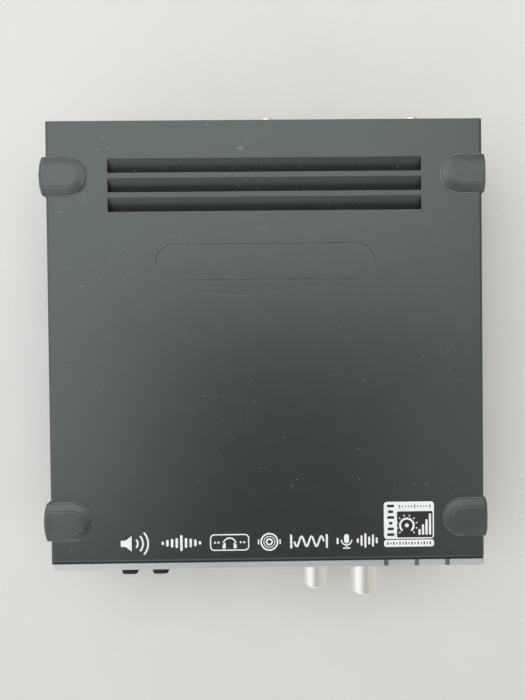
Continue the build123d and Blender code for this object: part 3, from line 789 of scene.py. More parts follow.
def cover_scuffs(nodes):
    """Mask of the pale scuffs on the cover: one long shallow arc, a small rubbed spot and a faint ring.

    The arc and the ring are where the distance from the centre is near the radius, broken up by a
    cloud, and the spot fades with the distance from its middle.
    """
    place = nodes.place()
    axes = nodes.split(place)
    flat = nodes.join(axes["X"], axes["Y"], 0.0)
    off_line = nodes.off(nodes.measure("DISTANCE", flat, SCUFF_CENTRE), SCUFF_RADIUS)
    off_middle = nodes.off(axes["X"], SCUFF_CENTRE[0])
    line = nodes.times(nodes.step(off_line, *SCUFF_FADE), nodes.step(off_middle, *SCUFF_END_FADE))
    line = nodes.times(line, nodes.step(nodes.cloud(place, SCUFF_PATCH), 0.38, 0.6, *SCUFF_STRENGTH))
    patchy = nodes.step(nodes.cloud(place, RUB_PATCH), 0.42, 0.66)
    away = nodes.measure("DISTANCE", flat, RUB_CENTRE)
    rub = nodes.times(nodes.step(away, *RUB_FADE), patchy)
    off_ring = nodes.off(nodes.measure("DISTANCE", flat, RING_CENTRE), RING_RADIUS)
    ring = nodes.times(nodes.step(off_ring, *RING_FADE, *RING_STRENGTH), patchy)
    return nodes.maths("MAXIMUM", line, nodes.maths("MAXIMUM", rub, ring))


def turned_metal(name, colour, roughness, centre, dot_rise, dot_depth):
    """Bright metal with fine lathe lines: rings about the axis that runs front to rear through centre.

    A round dot of dark paint lies dot_rise above the axis, on what is further forward than dot_depth.
    """
    finish = Finish(name, roughness, metallic=1.0)
    inputs = {"Vector": finish.place(), "Location": tuple(-centre)}
    axes = finish.split(finish.put("ShaderNodeMapping", inputs).outputs[0])
    radius = finish.measure("LENGTH", finish.join(axes["X"], 0.0, axes["Z"]))
    sweep = finish.plus(radius, finish.times(axes["Y"], LATHE_SLANT))
    inputs = {"W": finish.maths("DIVIDE", sweep, LATHE_PITCH), "Scale": 1.0, "Detail": 2.0}
    line = finish.put("ShaderNodeTexNoise", inputs, noise_dimensions="1D").outputs[0]
    rough = finish.step(line, 0.3, 0.7, roughness - LATHE_FINER, roughness + LATHE_COARSER)
    grained = finish.effect("Grain", Size=0.3 * MM, Patch=8 * MM)
    base = finish.mix(grained["Broad"], *[shade(colour, factor) for factor in KNOB_SHADES])
    rise = finish.maths("SUBTRACT", axes["Z"], dot_rise)
    from_dot = finish.measure("LENGTH", finish.join(axes["X"], 0.0, rise))
    paint = finish.step(from_dot, KNOB_DOT, 0.85 * KNOB_DOT)
    paint = finish.times(paint, finish.maths("LESS_THAN", axes["Y"], -dot_depth))
    base = finish.mix(paint, base, DOT_PAINT)
    finish.feed("Metallic", finish.step(paint, 0.0, 1.0, KNOB_METAL, 0.0))
    return finish.complete(base, rough, line, LATHE_DEPTH, strength=0.5)


def board_mask(name, colour):
    """Solder mask over copper: the borders of cells give faint tracks, and dots give the vias."""
    finish = Finish(name, roughness=0.35)
    place = finish.place()
    borders = finish.cells(place, 1.0 / TRACK_PITCH, randomness=0.75, distance="MANHATTAN",
                           feature="DISTANCE_TO_EDGE")
    track = finish.step(borders["Distance"], *TRACK_FADE)
    dots = finish.cells(place, 1.0 / VIA_PITCH)
    via = finish.step(dots["Distance"], *VIA_FADE)
    base = finish.mix(track, colour, shade(colour, TRACK_GAIN))
    base = finish.mix(via, base, SOLDER)
    grained = finish.effect("Grain", Size=0.6 * MM)
    rough = finish.step(grained["Fine"], 0.2, 0.8, *BOARD_ROUGHNESS)
    return finish.complete(base, rough, track, TRACK_HEIGHT, strength=0.6)


def chip_plastic(name, lead_height):
    """Black moulding compound; below lead_height, tinned leads with gaps between them."""
    finish = Finish(name, roughness=0.55)
    axes = finish.split(finish.place())
    skirt = finish.maths("LESS_THAN", axes["Z"], lead_height)
    waves = [finish.maths("SINE", finish.maths("DIVIDE", axes[axis], LEAD_WAVE)) for axis in "XY"]
    lead = finish.times(skirt, finish.step(finish.maths("MAXIMUM", *waves), *LEAD_FADE))
    grained = finish.effect("Grain", Size=0.25 * MM, Patch=6 * MM)
    base = finish.mix(grained["Fine"], BLACK_PLASTIC, PALE_CHIP)
    base = finish.mix(lead, base, TINNED_LEAD)
    rough = finish.step(lead, 0.0, 1.0, start=0.6, end=0.3)
    finish.feed("Metallic", lead)
    return finish.complete(base, rough, grained["Fine"], 0.01 * MM)


def bright_metal(name, colour, roughness, grain=0.5 * MM, height=0.004 * MM, **settings):
    """Plated or plain metal with a very fine grain."""
    return coated(name, colour, roughness, metallic=1.0, grain=grain, height=height, **settings)


# Pieces


class FinishStep:
    """What all steps share."""

    bl_options = {"REGISTER", "UNDO"}


class BREAKOUT_OT_case(FinishStep, bpy.types.Operator):
    """Paints the folded cover and tray, and gives the moulded carrier its grain"""

    bl_idname = "breakout.case"
    bl_label = "Paint the case"

    def execute(self, context):
        colour = tuple(context.scene.breakout_finish.cover_colour)
        paint = {"grain": 0.35 * MM, "height": 0.006 * MM, "worn": WORN_PAINT}
        # The cover's dust also lays painted light on the louvre floors
        # The cover's reflections carry the painted window-light tint
        cover = coated("Cover paint", colour, roughness=0.36, spread=0.12, scratches=0.35,
                       scuffs=cover_scuffs, wear=0.7, dust=1.0, ior=1.8, tint=WINDOW_LIGHT_TINT, **paint)
        tray = coated("Tray paint", shade(colour, 0.9), roughness=0.45, wear=0.6, **paint)
        carrier = coated("Carrier moulding", CARRIER_BLACK, roughness=0.6, grain=0.4 * MM, height=0.02 * MM)
        dress(cover, "top_cover")
        dress(tray, "base_tray")
        dress(carrier, "fascia_carrier")
        return {"FINISHED"}


class BREAKOUT_OT_front(FinishStep, bpy.types.Operator):
    """Lacquers the front plate, its dark inlays and the lamp"""

    bl_idname = "breakout.front"
    bl_label = "Finish the front"

    def execute(self, context):
        colours = context.scene.breakout_finish
        silver = coated("Fascia silver", tuple(colours.fascia_colour), roughness=0.40, metallic=0.55,
                        grain=0.22 * MM, height=0.004 * MM, spread=0.10, wear=0.4, worn=WORN_SILVER,
                        dust=0.3)
        inlay = coated("Inlay grey", tuple(colours.inlay_colour), roughness=0.5, grain=0.3 * MM)
        lens = coated("Lamp lens", LENS_GREY, roughness=0.18, grain=0.8 * MM, height=0.002 * MM)
        dress(silver, "front_fascia")
        dress(inlay, "fascia_inlays")
        dress(lens, "power_lamp")
        return {"FINISHED"}


def bumper_section(half, height, detail):
    """Half of a bumper's section, as its reach from the spine and its height.

    It runs from the spine out over the pad, through a crease, down the bevel and the rim to a thin
    lip and back under to the spine.
    """
    rim = detail.bumper_rim
    crease = detail.bumper_crease
    lip = detail.bumper_lip
    flat = detail.bumper_pad / 2
    wall = half - lip
    slope = (height - rim) / (wall - flat)
    corners = (
        (0.0, height),
        (flat - crease, height),
        (flat, height - 0.6 * crease),
        (flat + crease, height - slope * crease),
        (wall, rim),
        (wall, 0.7 * lip),
        (half, 0.5 * lip),
        (half, 0.0),
        (0.0, 0.0),
    )
    reaches = (0.2 * crease, 0.3 * crease, 0.6 * crease, 0.5 * rim, 0.1 * lip, 0.3 * lip, 0.0)
    return soften(corners, reaches)


def bumper_surface(node, detail, stand):
    """Strap with a bevelled section, carried over the top, down the side and under the floor.

    The section's place goes once round the strap: along one side, round one end, back along the
    other side and round the other end. At an end it turns about the upright through the end's
    middle, and at a corner of the box it turns about that corner. On the side of the box its rim
    and the lip below it are stretched to a share of stand, and what lies above the rim becomes a
    parabola across the strap that stands out by stand in the middle.
    """
    low, high = node_box(node)
    sign = 1.0 if low[0] > 0 else -1.0
    inner = low[0] if sign > 0 else high[0]
    half = (high[1] - low[1]) / 2
    y = node_middle(node)[1]
    side_x = sign * cover_high[0]
    end_x = inner + sign * half
    end_top = np.array((end_x, y, COVER_TOP))
    corner_top = np.array((side_x, y, COVER_TOP))
    corner_low = np.array((side_x, y, cover_low[2]))
    end_low = np.array((end_x, y, cover_low[2]))
    up = np.array((0.0, 0.0, 1.0))
    out = np.array((sign, 0.0, 0.0))
    rear = np.array((0.0, 1.0, 0.0))
    run = np.linspace(0.0, 1.0, RUN_LINES)[:, None]
    quarter = np.linspace(0.0, np.pi / 2, BEND_LINES)[:, None]
    half_turn = np.linspace(0.0, np.pi, END_LINES)[1:-1, None]

    def stretch(start, end, normal):
        return start + (end - start) * run, np.broadcast_to(normal, (len(run), 3))

    def bend(corner, first, second):
        turn = np.cos(quarter) * first + np.sin(quarter) * second
        return np.broadcast_to(corner, turn.shape), turn

    legs = (
        stretch(end_top, corner_top, up),
        bend(corner_top, up, out),
        stretch(corner_top, corner_low, out),
        bend(corner_low, out, -up),
        stretch(corner_low, end_low, -up),
    )
    spine = np.vstack([leg[0] for leg in legs])
    normal = np.vstack([leg[1] for leg in legs])
    fan = np.cos(half_turn) * rear - np.sin(half_turn) * out

    def lap(along, far_end, back, near_end):
        shapes = (spine.shape, fan.shape, spine.shape, fan.shape)
        values = (along, far_end, back, near_end)
        return np.vstack([np.broadcast_to(value, shape) for value, shape in zip(values, shapes)])[:, None]

    centres = lap(spine, end_low, spine[::-1], end_top)
    normals = lap(normal, -up, normal[::-1], up)
    sides = lap(rear, fan, -rear, fan[::-1])
    section = bumper_section(half, high[2] - COVER_TOP, detail)
    reach = section[None, :, :1]
    lift = section[None, :, 1:]
    rim = detail.bumper_rim
    wall = half - detail.bumper_lip
    dome = stand * (1.0 - (1.0 - SIDE_RIM) * (reach / wall) ** 2)
    stretched = np.where(lift > rim, dome, SIDE_RIM * stand * lift / rim)
    lift = lift + np.abs(normals[:, :, :1]) * (stretched - lift)
    points = centres + reach * sides + lift * normals
    return points, grid_quads(*points.shape[:2], close_rows=True)


class BREAKOUT_OT_bumpers(FinishStep, bpy.types.Operator):
    """Moulds the four rubber bumpers with soft creases"""

    bl_idname = "breakout.bumpers"
    bl_label = "Mould the bumpers"

    def execute(self, context):
        detail = context.scene.breakout_detail
        colour = tuple(context.scene.breakout_finish.bumper_colour)
        # The bumpers' reflections carry the painted window-light tint
        # The dust setting also draws a broken pale line round each bumper's foot
        rubber = coated("Bumper rubber", colour, roughness=0.44, grain=0.45 * MM, height=0.03 * MM,
                        spread=0.4, patch=2.5 * MM, wear=0.8, worn=WORN_RUBBER, dust=2.0, fleck=1.1 * MM,
                        ior=1.85, tint=WINDOW_LIGHT_TINT)
        stands = {"left": detail.bumper_left, "right": detail.bumper_right}
        for row in ("front", "rear"):
            for side, stand in stands.items():
                node = f"bumper_{row}_{side}"
                surface = bumper_surface(node, detail, stand)
                make_piece(f"rubber_{row}_{side}", [surface], rubber, replaced=(node,))
        return {"FINISHED"}


def knob_surface(node, taper, rim):
    """Turned knob: bored back, tapered side, round rim and a dished end with a dimple to read it by.

    Gives the surface and the dimple's distance from the axis.
    """
    box = turned_box(node)
    length = box.length
    end = box.radius * taper
    lip = end - 2.0 * rim
    floor = length - KNOB_DISH
    bore_end = length - KNOB_END_WALL
    corners = (
        (0.0, bore_end),
        (KNOB_BORE, bore_end),
        (KNOB_BORE, 0.0),
        (box.radius, 0.0),
        (end, length),
        (lip, length),
        (lip - KNOB_DISH, floor),
    )
    outer = soften(corners, (0.0, KNOB_EDGE, KNOB_BACK_EDGE, rim, KNOB_EDGE), steps=9)
    face = np.linspace(lip - KNOB_DISH, 0.0, FACE_RINGS)[1:]
    profile = np.vstack((outer, level_line(face, floor)))
    mark = lip * KNOB_DOT_PLACE

    def press(radius, along, angle):
        away = np.hypot(radius * np.cos(angle), radius * np.sin(angle) - mark)
        inside = np.clip(1.0 - (away / KNOB_DOT) ** 2, 0.0, 1.0)
        return np.where(along > floor - KNOB_DISH, -KNOB_DOT_DEPTH * np.sqrt(inside), 0.0)

    return turned(profile, box.rear, "front", steps=192, lift=press), mark


class BREAKOUT_OT_knobs(FinishStep, bpy.types.Operator):
    """Turns the two knobs and finishes their shafts and controls"""

    bl_idname = "breakout.knobs"
    bl_label = "Turn the knobs"

    def execute(self, context):
        rim = context.scene.breakout_detail.knob_rim
        colour = tuple(context.scene.breakout_finish.knob_colour)
        for name, taper in KNOB_TAPERS.items():
            node = f"{name}_knob"
            surface, mark = knob_surface(node, taper, rim)
            box = turned_box(node)
            silver = turned_metal(f"Knob silver {name}", colour, roughness=0.42, centre=box.rear,
                                  dot_rise=mark, dot_depth=box.length - KNOB_PAINT_BAND)
            make_piece(f"{name}_knob_turned", [surface], silver, f"{name}_control", (node,))
        steel = bright_metal("Shaft steel", SHAFT_STEEL, roughness=0.3, grain=0.3 * MM)
        body = coated("Control body", CONTROL_GREY, roughness=0.5, grain=0.4 * MM)
        dress(steel, "level_shaft", "volume_shaft")
        dress(body, "level_pot", "volume_pot")
        return {"FINISHED"}


def barrel_surface(node, pitch):
    """Barrel of a jack: a tube whose outside carries a screw thread up to a plain chamfered mouth."""
    box = turned_box(node)
    outer = box.radius
    length = box.length
    thread_end = length - 2.0 * BARREL_CHAMFER
    along = np.linspace(THREAD_START, thread_end, THREAD_RINGS)
    corners = (
        (outer, thread_end),
        (outer, length - BARREL_CHAMFER),
        (outer - BARREL_CHAMFER, length),
        (BARREL_BORE, length),
        (BARREL_BORE, 0.0),
    )
    foot = ((outer, 0.0), (outer, THREAD_START))
    mouth = soften(corners, (0.0, 0.0, BARREL_MOUTH))
    profile = np.vstack((foot, level_line(along, outer)[:, ::-1], mouth))

    def thread(radius, along, angle):
        wave = 0.5 + 0.5 * np.cos(2.0 * np.pi * along / pitch - angle)
        run_in = np.clip((along - THREAD_START) / pitch, 0.0, 1.0)
        run_out = np.clip((thread_end - along) / pitch, 0.0, 1.0)
        return np.where(radius > outer - 0.01 * MM, -THREAD_DEPTH * wave * run_in * run_out, 0.0)

    return turned(profile, box.rear, "front", closed=True, ripple=thread)


def nut_surface(place, inner, outer, thick):
    """Round nut: a chamfered ring whose outside carries flutes from front to back."""
    side = np.linspace(NUT_CHAMFER, thick - NUT_CHAMFER, FLUTE_RINGS)
    front = ((outer - NUT_CHAMFER, thick), (inner + NUT_CHAMFER, thick), (inner, thick - NUT_CHAMFER))
    back = ((inner, 0.0), (outer - NUT_CHAMFER, 0.0))
    profile = np.vstack((back, level_line(side, outer)[:, ::-1], soften(front, (0.0,))))

    def flute(radius, along, angle):
        wave = 0.5 + 0.5 * np.cos(FLUTES * angle)
        return np.where(radius > outer - 0.5 * NUT_CHAMFER, -FLUTE_DEPTH * wave, 0.0)

    return turned(profile, place, "front", steps=288, closed=True, ripple=flute)


class BREAKOUT_OT_jacks(FinishStep, bpy.types.Operator):
    """Cuts the threads of the jack barrels and flutes their nuts"""

    bl_idname = "breakout.jacks"
    bl_label = "Finish the jacks"

    def execute(self, context):
        pitch = context.scene.breakout_detail.thread_pitch
        nickel = bright_metal("Nickel plate", NICKEL, roughness=0.22, grain=0.4 * MM, height=0.003 * MM,
                              spread=0.08)
        body = coated("Jack body", BLACK_PLASTIC, roughness=0.5, grain=0.4 * MM)
        nut_low, nut_high = node_box("jack_nuts")
        nut_radius = (nut_high[2] - nut_low[2]) / 2
        nuts = []
        for name in ("microphone", "headphone"):
            node = f"{name}_barrel"
            surface = barrel_surface(node, pitch)
            make_piece(f"{node}_threaded", [surface], nickel, replaced=(node,))
            box = turned_box(node)
            place = (box.rear[0], nut_high[1], box.rear[2])
            nuts.append(nut_surface(place, box.radius + NUT_PLAY, nut_radius, nut_high[1] - nut_low[1]))
        make_piece("jack_nuts_fluted", nuts, nickel, replaced=("jack_nuts",))
        dress(body, "microphone_jack", "headphone_jack")
        return {"FINISHED"}


class BREAKOUT_OT_optical(FinishStep, bpy.types.Operator):
    """Finishes the optical sockets and their dust plugs"""

    bl_idname = "breakout.optical"
    bl_label = "Finish the optical sockets"

    def execute(self, context):
        socket = coated("Socket plastic", SOCKET_BLACK, roughness=0.5)
        plug = coated("Plug plastic", PLUG_BLACK, roughness=0.55, height=0.02 * MM, wear=0.4,
                      worn=WORN_PLUG, dust=0.3, ior=1.4)
        dress(socket, "optical_in_socket", "optical_out_socket")
        dress(plug, "optical_in_plug", "optical_out_plug")
        return {"FINISHED"}


def sleeve_surface(node):
    """Phono sleeve: a tube with a flange against the wall and a rolled mouth."""
    box = turned_box(node)
    flange_to = FLANGE_FROM + FLANGE_THICK
    corners = (
        (SLEEVE_INNER, 0.0),
        (SLEEVE_OUTER, 0.0),
        (SLEEVE_OUTER, FLANGE_FROM),
        (box.radius, FLANGE_FROM),
        (box.radius, flange_to),
        (SLEEVE_OUTER, flange_to),
        (SLEEVE_OUTER, box.length),
        (SLEEVE_INNER, box.length),
        (SLEEVE_INNER, 0.0),
    )
    reaches = (0.1 * MM, 0.05 * MM, 0.15 * MM, 0.25 * MM, 0.2 * MM, SLEEVE_ROLL, SLEEVE_ROLL)
    return turned(soften(corners, reaches)[:-1], box.front, "rear", steps=128, closed=True)


def contact_surface(mouth, outer, inner, length):
    """Open tube of a spring contact, from its mouth inwards."""
    edge = 0.3 * (outer - inner)
    corners = ((inner, -length), (outer, -length), (outer, 0.0), (inner, 0.0), (inner, -length))
    return turned(soften(corners, (0.0, edge, edge))[:-1], mouth, "rear", steps=24, closed=True)


class BREAKOUT_OT_phono(FinishStep, bpy.types.Operator):
    """Turns the gold phono sleeves and sets the contacts in their cores"""

    bl_idname = "breakout.phono"
    bl_label = "Finish the phono sockets"

    def execute(self, context):
        colour = tuple(context.scene.breakout_finish.gold_colour)
        gold = bright_metal("Contact gold", colour, roughness=0.42, height=0.003 * MM, spread=0.08)
        core = coated("Core white", CORE_WHITE, roughness=0.45, grain=0.4 * MM, spread=0.06)
        housing = coated("Phono housing", BLACK_PLASTIC, roughness=0.5)
        contacts = []
        for name in ("phono_in", "phono_out"):
            node = f"{name}_sleeve"
            make_piece(f"{node}_turned", [sleeve_surface(node)], gold, replaced=(node,))
            mouth = turned_box(f"{name}_core").rear - (0.0, PHONO_CONTACT_DEPTH, 0.0)
            contacts.append(contact_surface(mouth, **PHONO_CONTACT))
        make_piece("phono_contacts", contacts, gold)
        dress(core, "phono_in_core", "phono_out_core")
        dress(housing, "phono_in_housing", "phono_out_housing")
        return {"FINISHED"}


class BREAKOUT_OT_link(FinishStep, bpy.types.Operator):
    """Plates the link connector and fills its holes with contacts"""

    bl_idname = "breakout.link"
    bl_label = "Finish the link connector"

    def execute(self, context):
        plating = bright_metal("Link plating", LINK_PLATING, roughness=0.30, wear=0.3, worn=WORN_PLATING)
        insert = coated("Link insert", INSERT_BLACK, roughness=0.55, grain=0.4 * MM)
        gold = bpy.data.materials["Contact gold"]
        middle = node_middle("link_shell")
        mouth = node_box("link_insert")[1][1] - LINK_CONTACT_DEPTH
        contacts = []
        for row, rise in enumerate((LINK_ROWS_APART / 2, -LINK_ROWS_APART / 2)):
            count = LINK_COLUMNS - row
            for x in middle[0] + (np.arange(count) - (count - 1) / 2) * LINK_PITCH:
                contacts.append(contact_surface((x, mouth, middle[2] + rise), **LINK_CONTACT))
        make_piece("link_contacts", contacts, gold)
        dress(plating, "link_shell", "link_jackscrews")
        dress(insert, "link_insert")
        return {"FINISHED"}


def screw_surface(place, axis, head_radius, head_height):
    """Pan-head screw: a turned head and shank, with a cross pressed into the head.

    The head's rings are close enough for the cross, whose arms are the places within half an
    arm's width of either axis and within its length of the middle.
    """
    field = np.linspace(0.0, CROSS_FIELD * head_radius, CROSS_RINGS)
    corners = (
        (field[-1], head_height),
        (head_radius, head_height),
        (head_radius, 0.0),
        (SHANK_RADIUS, 0.0),
        (SHANK_RADIUS, -SHANK_LENGTH),
        (0.0, -SHANK_LENGTH),
    )
    rest = soften(corners, (0.26 * head_radius, HEAD_EDGE, 0.0, SHANK_TIP))
    profile = np.vstack((level_line(field, head_height), rest[1:]))

    def cross(reach, along, angle):
        beside = np.abs(reach * np.cos(angle))
        above = np.abs(reach * np.sin(angle))
        room_across = CROSS_ARM_HALF * head_radius - np.minimum(beside, above)
        room_out = CROSS_ARM * head_radius - np.maximum(beside, above)
        inside = np.minimum(room_across, room_out)
        sink = -CROSS_DEPTH * np.clip(inside / CROSS_WALL, 0.0, 1.0)
        return np.where(along > 0.99 * head_height, sink, 0.0)

    return turned(profile, place, axis, steps=144, lift=cross)


class BREAKOUT_OT_screws(FinishStep, bpy.types.Operator):
    """Makes the cover's screws with cross recesses and plates the hidden fasteners"""

    bl_idname = "breakout.screws"
    bl_label = "Drive the screws"

    def execute(self, context):
        black = coated("Screw black", SCREW_BLACK, roughness=0.36, metallic=0.8, grain=0.4 * MM, spread=0.2,
                       wear=0.8, worn=WORN_SCREW)
        steel = bright_metal("Plated steel", PLATED_STEEL, roughness=0.32)
        brass = bright_metal("Standoff brass", BRASS, roughness=0.35)
        low, high = node_box("cover_screws")
        head_radius = (high[2] - low[2]) / 2
        head_height = high[0] - cover_high[0]
        z = node_middle("cover_screws")[2]
        screws = []
        for side, x in (("left", cover_low[0]), ("right", cover_high[0])):
            for y in (low[1] + head_radius, high[1] - head_radius):
                screws.append(screw_surface((x, y, z), side, head_radius, head_height))
        make_piece("cover_screws_crossed", screws, black, replaced=("cover_screws",))
        dress(steel, "carrier_screws", "board_screws", "deck_screws", "deck_standoffs")
        dress(brass, "board_standoffs")
        return {"FINISHED"}


class BREAKOUT_OT_boards(FinishStep, bpy.types.Operator):
    """Finishes the boards and what is soldered to them"""

    bl_idname = "breakout.boards"
    bl_label = "Finish the boards"

    def execute(self, context):
        board_top = node_box("main_board")[1][2]
        mask = board_mask("Board mask", tuple(context.scene.breakout_finish.board_colour))
        chips = chip_plastic("Chip moulding", board_top + LEAD_HEIGHT)
        header = coated("Header plastic", BLACK_PLASTIC, roughness=0.5, grain=0.4 * MM)
        can = bright_metal("Can aluminium", CAN_ALUMINIUM, roughness=0.3)
        tab = coated("Regulator", REGULATOR_BLACK, roughness=0.5, grain=0.4 * MM)
        dress(mask, "main_board", "control_board")
        dress(chips, "main_chip", "converter_chip", "amplifier_chips")
        dress(header, "deck_header")
        dress(can, "capacitors", "crystal")
        dress(tab, "regulator")
        return {"FINISHED"}


# Print, drawn in millimetres about the middle of each mark and of the badge


def bar(x, y, width, height):
    """Outline of an upright bar with round ends."""
    return rounded_rectangle(x, y, width, height, 0.499 * min(width, height), 24)


def speaker_mark():
    """Loudspeaker cone with three arcs of sound."""
    cone = np.array(((-6.2, -1.3), (-4.2, -1.3), (-1.6, -3.3), (-1.6, 3.3), (-4.2, 1.3), (-6.2, 1.3)))
    sound = [(arc(-1.6, 0.0, radius, -42, 42), 0.75, False) for radius in (2.6, 4.8, 7.0)]
    return [cone], sound


def level_mark():
    """Row of bars whose heights follow a squared cosine with a ripple."""
    places = np.linspace(-1.0, 1.0, 9)
    heights = 1.4 + 5.4 * np.cos(places * 1.35) ** 2 * (0.75 + 0.25 * np.cos(places * 9.0))
    return [bar(7.9 * place, 0.0, 1.05, height) for place, height in zip(places, heights)], []


def headphone_mark():
    """Headband over two cups, with two dots on each side, in a rounded frame."""
    cups = [rounded_rectangle(x, -1.35, 1.35, 2.5, 0.5) for x in (-2.35, 2.35)]
    dots = [bar(x, 0.0, 0.9, 0.9) for x in (-6.2, -4.7, 4.7, 6.2)]
    band = arc(0.0, -0.9, 2.75, 0, 180)
    border = rounded_rectangle(0.0, 0.0, 16.2, 6.6, 1.6, 64)
    return cups + dots, [(band, 0.6, False), (border, 0.5, True)]


def disc_mark():
    """Disc as three rings, between two ticks."""
    sizes = ((7.0, 0.7), (4.7, 0.35), (2.4, 0.7))
    rings = [(bar(0.0, 0.0, size, size), width, True) for size, width in sizes]
    ticks = [bar(x, 0.0, 0.55, 2.2) for x in (-4.6, 4.6)]
    return ticks, rings


def wave_mark():
    """Three sine waves between two end stops."""
    u = np.linspace(-1.0, 1.0, 90)
    wave = np.stack((6.3 * u, 2.1 * np.sin(u * 3.0 * np.pi)), axis=-1)
    stops = [bar(x, 0.0, 0.9, 6.0) for x in (-7.6, 7.6)]
    return stops, [(wave, 0.8, False)]


def microphone_mark():
    """Microphone on its stand, with one bar on its left and six on its right."""
    stem = -4.6
    microphone = [bar(stem, 0.9, 2.1, 4.0), bar(stem, -3.1, 3.2, 0.6), bar(stem, -2.5, 0.6, 1.2)]
    cradle = arc(stem, 0.4, 2.2, 180, 360)
    heights = (2.0, 4.4, 6.2, 3.4, 5.2, 2.6)
    right_bars = [bar(0.2 + 1.62 * i, 0.0, 0.85, height) for i, height in enumerate(heights)]
    left_bar = bar(-8.4, 0.0, 0.85, 2.6)
    return [*microphone, *right_bars, left_bar], [(cradle, 0.55, False)]


MARKS = (
    (-56.5 * MM, speaker_mark),
    (-37.0 * MM, level_mark),
    (-16.5 * MM, headphone_mark),
    (0.4 * MM, disc_mark),
    (17.3 * MM, wave_mark),
    (37.9 * MM, microphone_mark),
)


def badge_dial(x, y):
    """Open ring round a hub, with ten ticks outside it."""
    hub = bar(x, y, 1.7, 1.7)
    ring = arc(x, y, 2.9, -50, 230, 64)
    strokes = [(ring, 0.85, False)]
    for angle in np.radians(np.linspace(-45, 225, 10)):
        ray = np.array((np.cos(angle), np.sin(angle)))
        tick = np.linspace(3.9, 4.7, 3)[:, None] * ray + (x, y)
        strokes.append((tick, 0.42, False))
    return [hub], strokes


def badge_columns(x, foot):
    """Four columns that grow to the right."""
    heights = (2.4, 4.4, 6.6, 9.0)
    return [rounded_rectangle(x + 1.5 * i, foot + h / 2, 0.95, h, 0.2) for i, h in enumerate(heights)]


def badge_scales(panel_x):
    """Steps down the left of the badge, dashes above its panel and dots along its foot."""
    widths = (3.0, 2.2, 3.0, 1.5, 2.6, 3.0)
    steps = [rounded_rectangle(-7.8, 7.9 - 2.45 * i, width, 1.15, 0.3) for i, width in enumerate(widths)]
    dashes = [bar(panel_x + 1.3 * i, 7.65, 0.42, 0.8 if i % 5 else 1.5) for i in range(-5, 6)]
    dots = [bar(1.3 * i, -8.1, 0.55, 1.3 if i % 2 else 0.8) for i in range(-7, 8)]
    return steps + dashes + dots


def ink_parts(plates, paths, middle, low, high):
    """Closed surfaces of a drawing in millimetres, put at its middle on the cover, between two heights.

    plates are outlines, and paths are centre lines, each with its width and whether it is closed.
    """
    parts = [plate(outline * MM + middle, low, high) for outline in plates]
    for path, width, closed in paths:
        parts.append(strip(path * MM + middle, width * MM, low, high, closed))
    return parts


def white_ink(name, colour):
    """Screen-printed ink, a little uneven."""
    return coated(name, colour, roughness=0.5, grain=0.3 * MM, height=0.008 * MM, spread=0.07, patch=5 * MM)


class BREAKOUT_OT_marks(FinishStep, bpy.types.Operator):
    """Prints the row of generic marks along the front of the cover"""

    bl_idname = "breakout.marks"
    bl_label = "Print the marks"

    def execute(self, context):
        detail = context.scene.breakout_detail
        ink = white_ink("White ink", tuple(context.scene.breakout_finish.ink_colour))
        low = COVER_TOP - detail.ink_height
        high = COVER_TOP + detail.ink_height
        parts = []
        for x, mark in MARKS:
            parts += ink_parts(*mark(), (x, SEAM_LINE + detail.mark_from_seam), low, high)
        make_piece("printed_marks", parts, ink)
        return {"FINISHED"}


class BREAKOUT_OT_badge(FinishStep, bpy.types.Operator):
    """Prints the white badge with a dark panel, a dial and rows of steps"""

    bl_idname = "breakout.badge"
    bl_label = "Print the badge"

    def execute(self, context):
        detail = context.scene.breakout_detail
        colours = context.scene.breakout_finish
        ink = white_ink("Badge ink", tuple(colours.ink_colour))
        dark = coated("Badge figures", tuple(colours.cover_colour), roughness=0.5, grain=0.3 * MM)
        low = COVER_TOP - detail.ink_height
        high = COVER_TOP + detail.ink_height
        over = high + 0.5 * detail.ink_height
        top = high + detail.ink_height
        middle = (detail.badge_place, SEAM_LINE + detail.badge_from_seam)
        field = rounded_rectangle(0.0, 1.75, 21.4, 15.9, 1.4, 64)
        foot = rounded_rectangle(0.0, -8.1, 21.4, 3.0, 1.1, 64)
        panel_x = 2.5
        panel_y = -0.05
        panel = rounded_rectangle(panel_x, panel_y, 15.2, 11.2, 0.5)
        hubs, strokes = badge_dial(panel_x - 3.4, panel_y - 0.4)
        columns = badge_columns(panel_x + 2.0, panel_y - 4.5)
        white = ink_parts([field, foot], [], middle, low, high)
        white += ink_parts(hubs + columns, strokes, middle, COVER_TOP, top)
        figures = ink_parts([panel, *badge_scales(panel_x)], [], middle, COVER_TOP, over)
        make_piece("badge_field", white, ink)
        make_piece("badge_figures", figures, dark)
        return {"FINISHED"}


# Stage


def soft_light(scene, name, place, size, power, colour):
    """Rectangular soft light that faces straight down."""
    light = bpy.data.lights.new(name, "AREA")
    light.shape = "RECTANGLE"
    light.size, light.size_y = size
    light.energy = power
    light.color = colour
    lamp = bpy.data.objects.new(name, light)
    lamp.location = place
    scene.collection.objects.link(lamp)


def lay_floor(scene, colour):
    """Wide pale sheet that the box stands on."""
    lines = np.linspace(-FLOOR_HALF, FLOOR_HALF, FLOOR_LINES)
    x, y = np.meshgrid(lines, lines)
    points = np.stack((x, y, 0.0 * x), axis=-1)
    matte = coated("Floor", colour, roughness=0.7, grain=1.5 * MM, height=0.02 * MM, spread=0.02)
    mesh = bpy.data.meshes.new("Floor")
    mesh.from_pydata(points.reshape(-1, 3).tolist(), [], grid_quads(*x.shape)[:, ::-1].tolist())
    mesh.materials.append(matte)
    floor = bpy.data.objects.new("Floor", mesh)
    scene.collection.objects.link(floor)


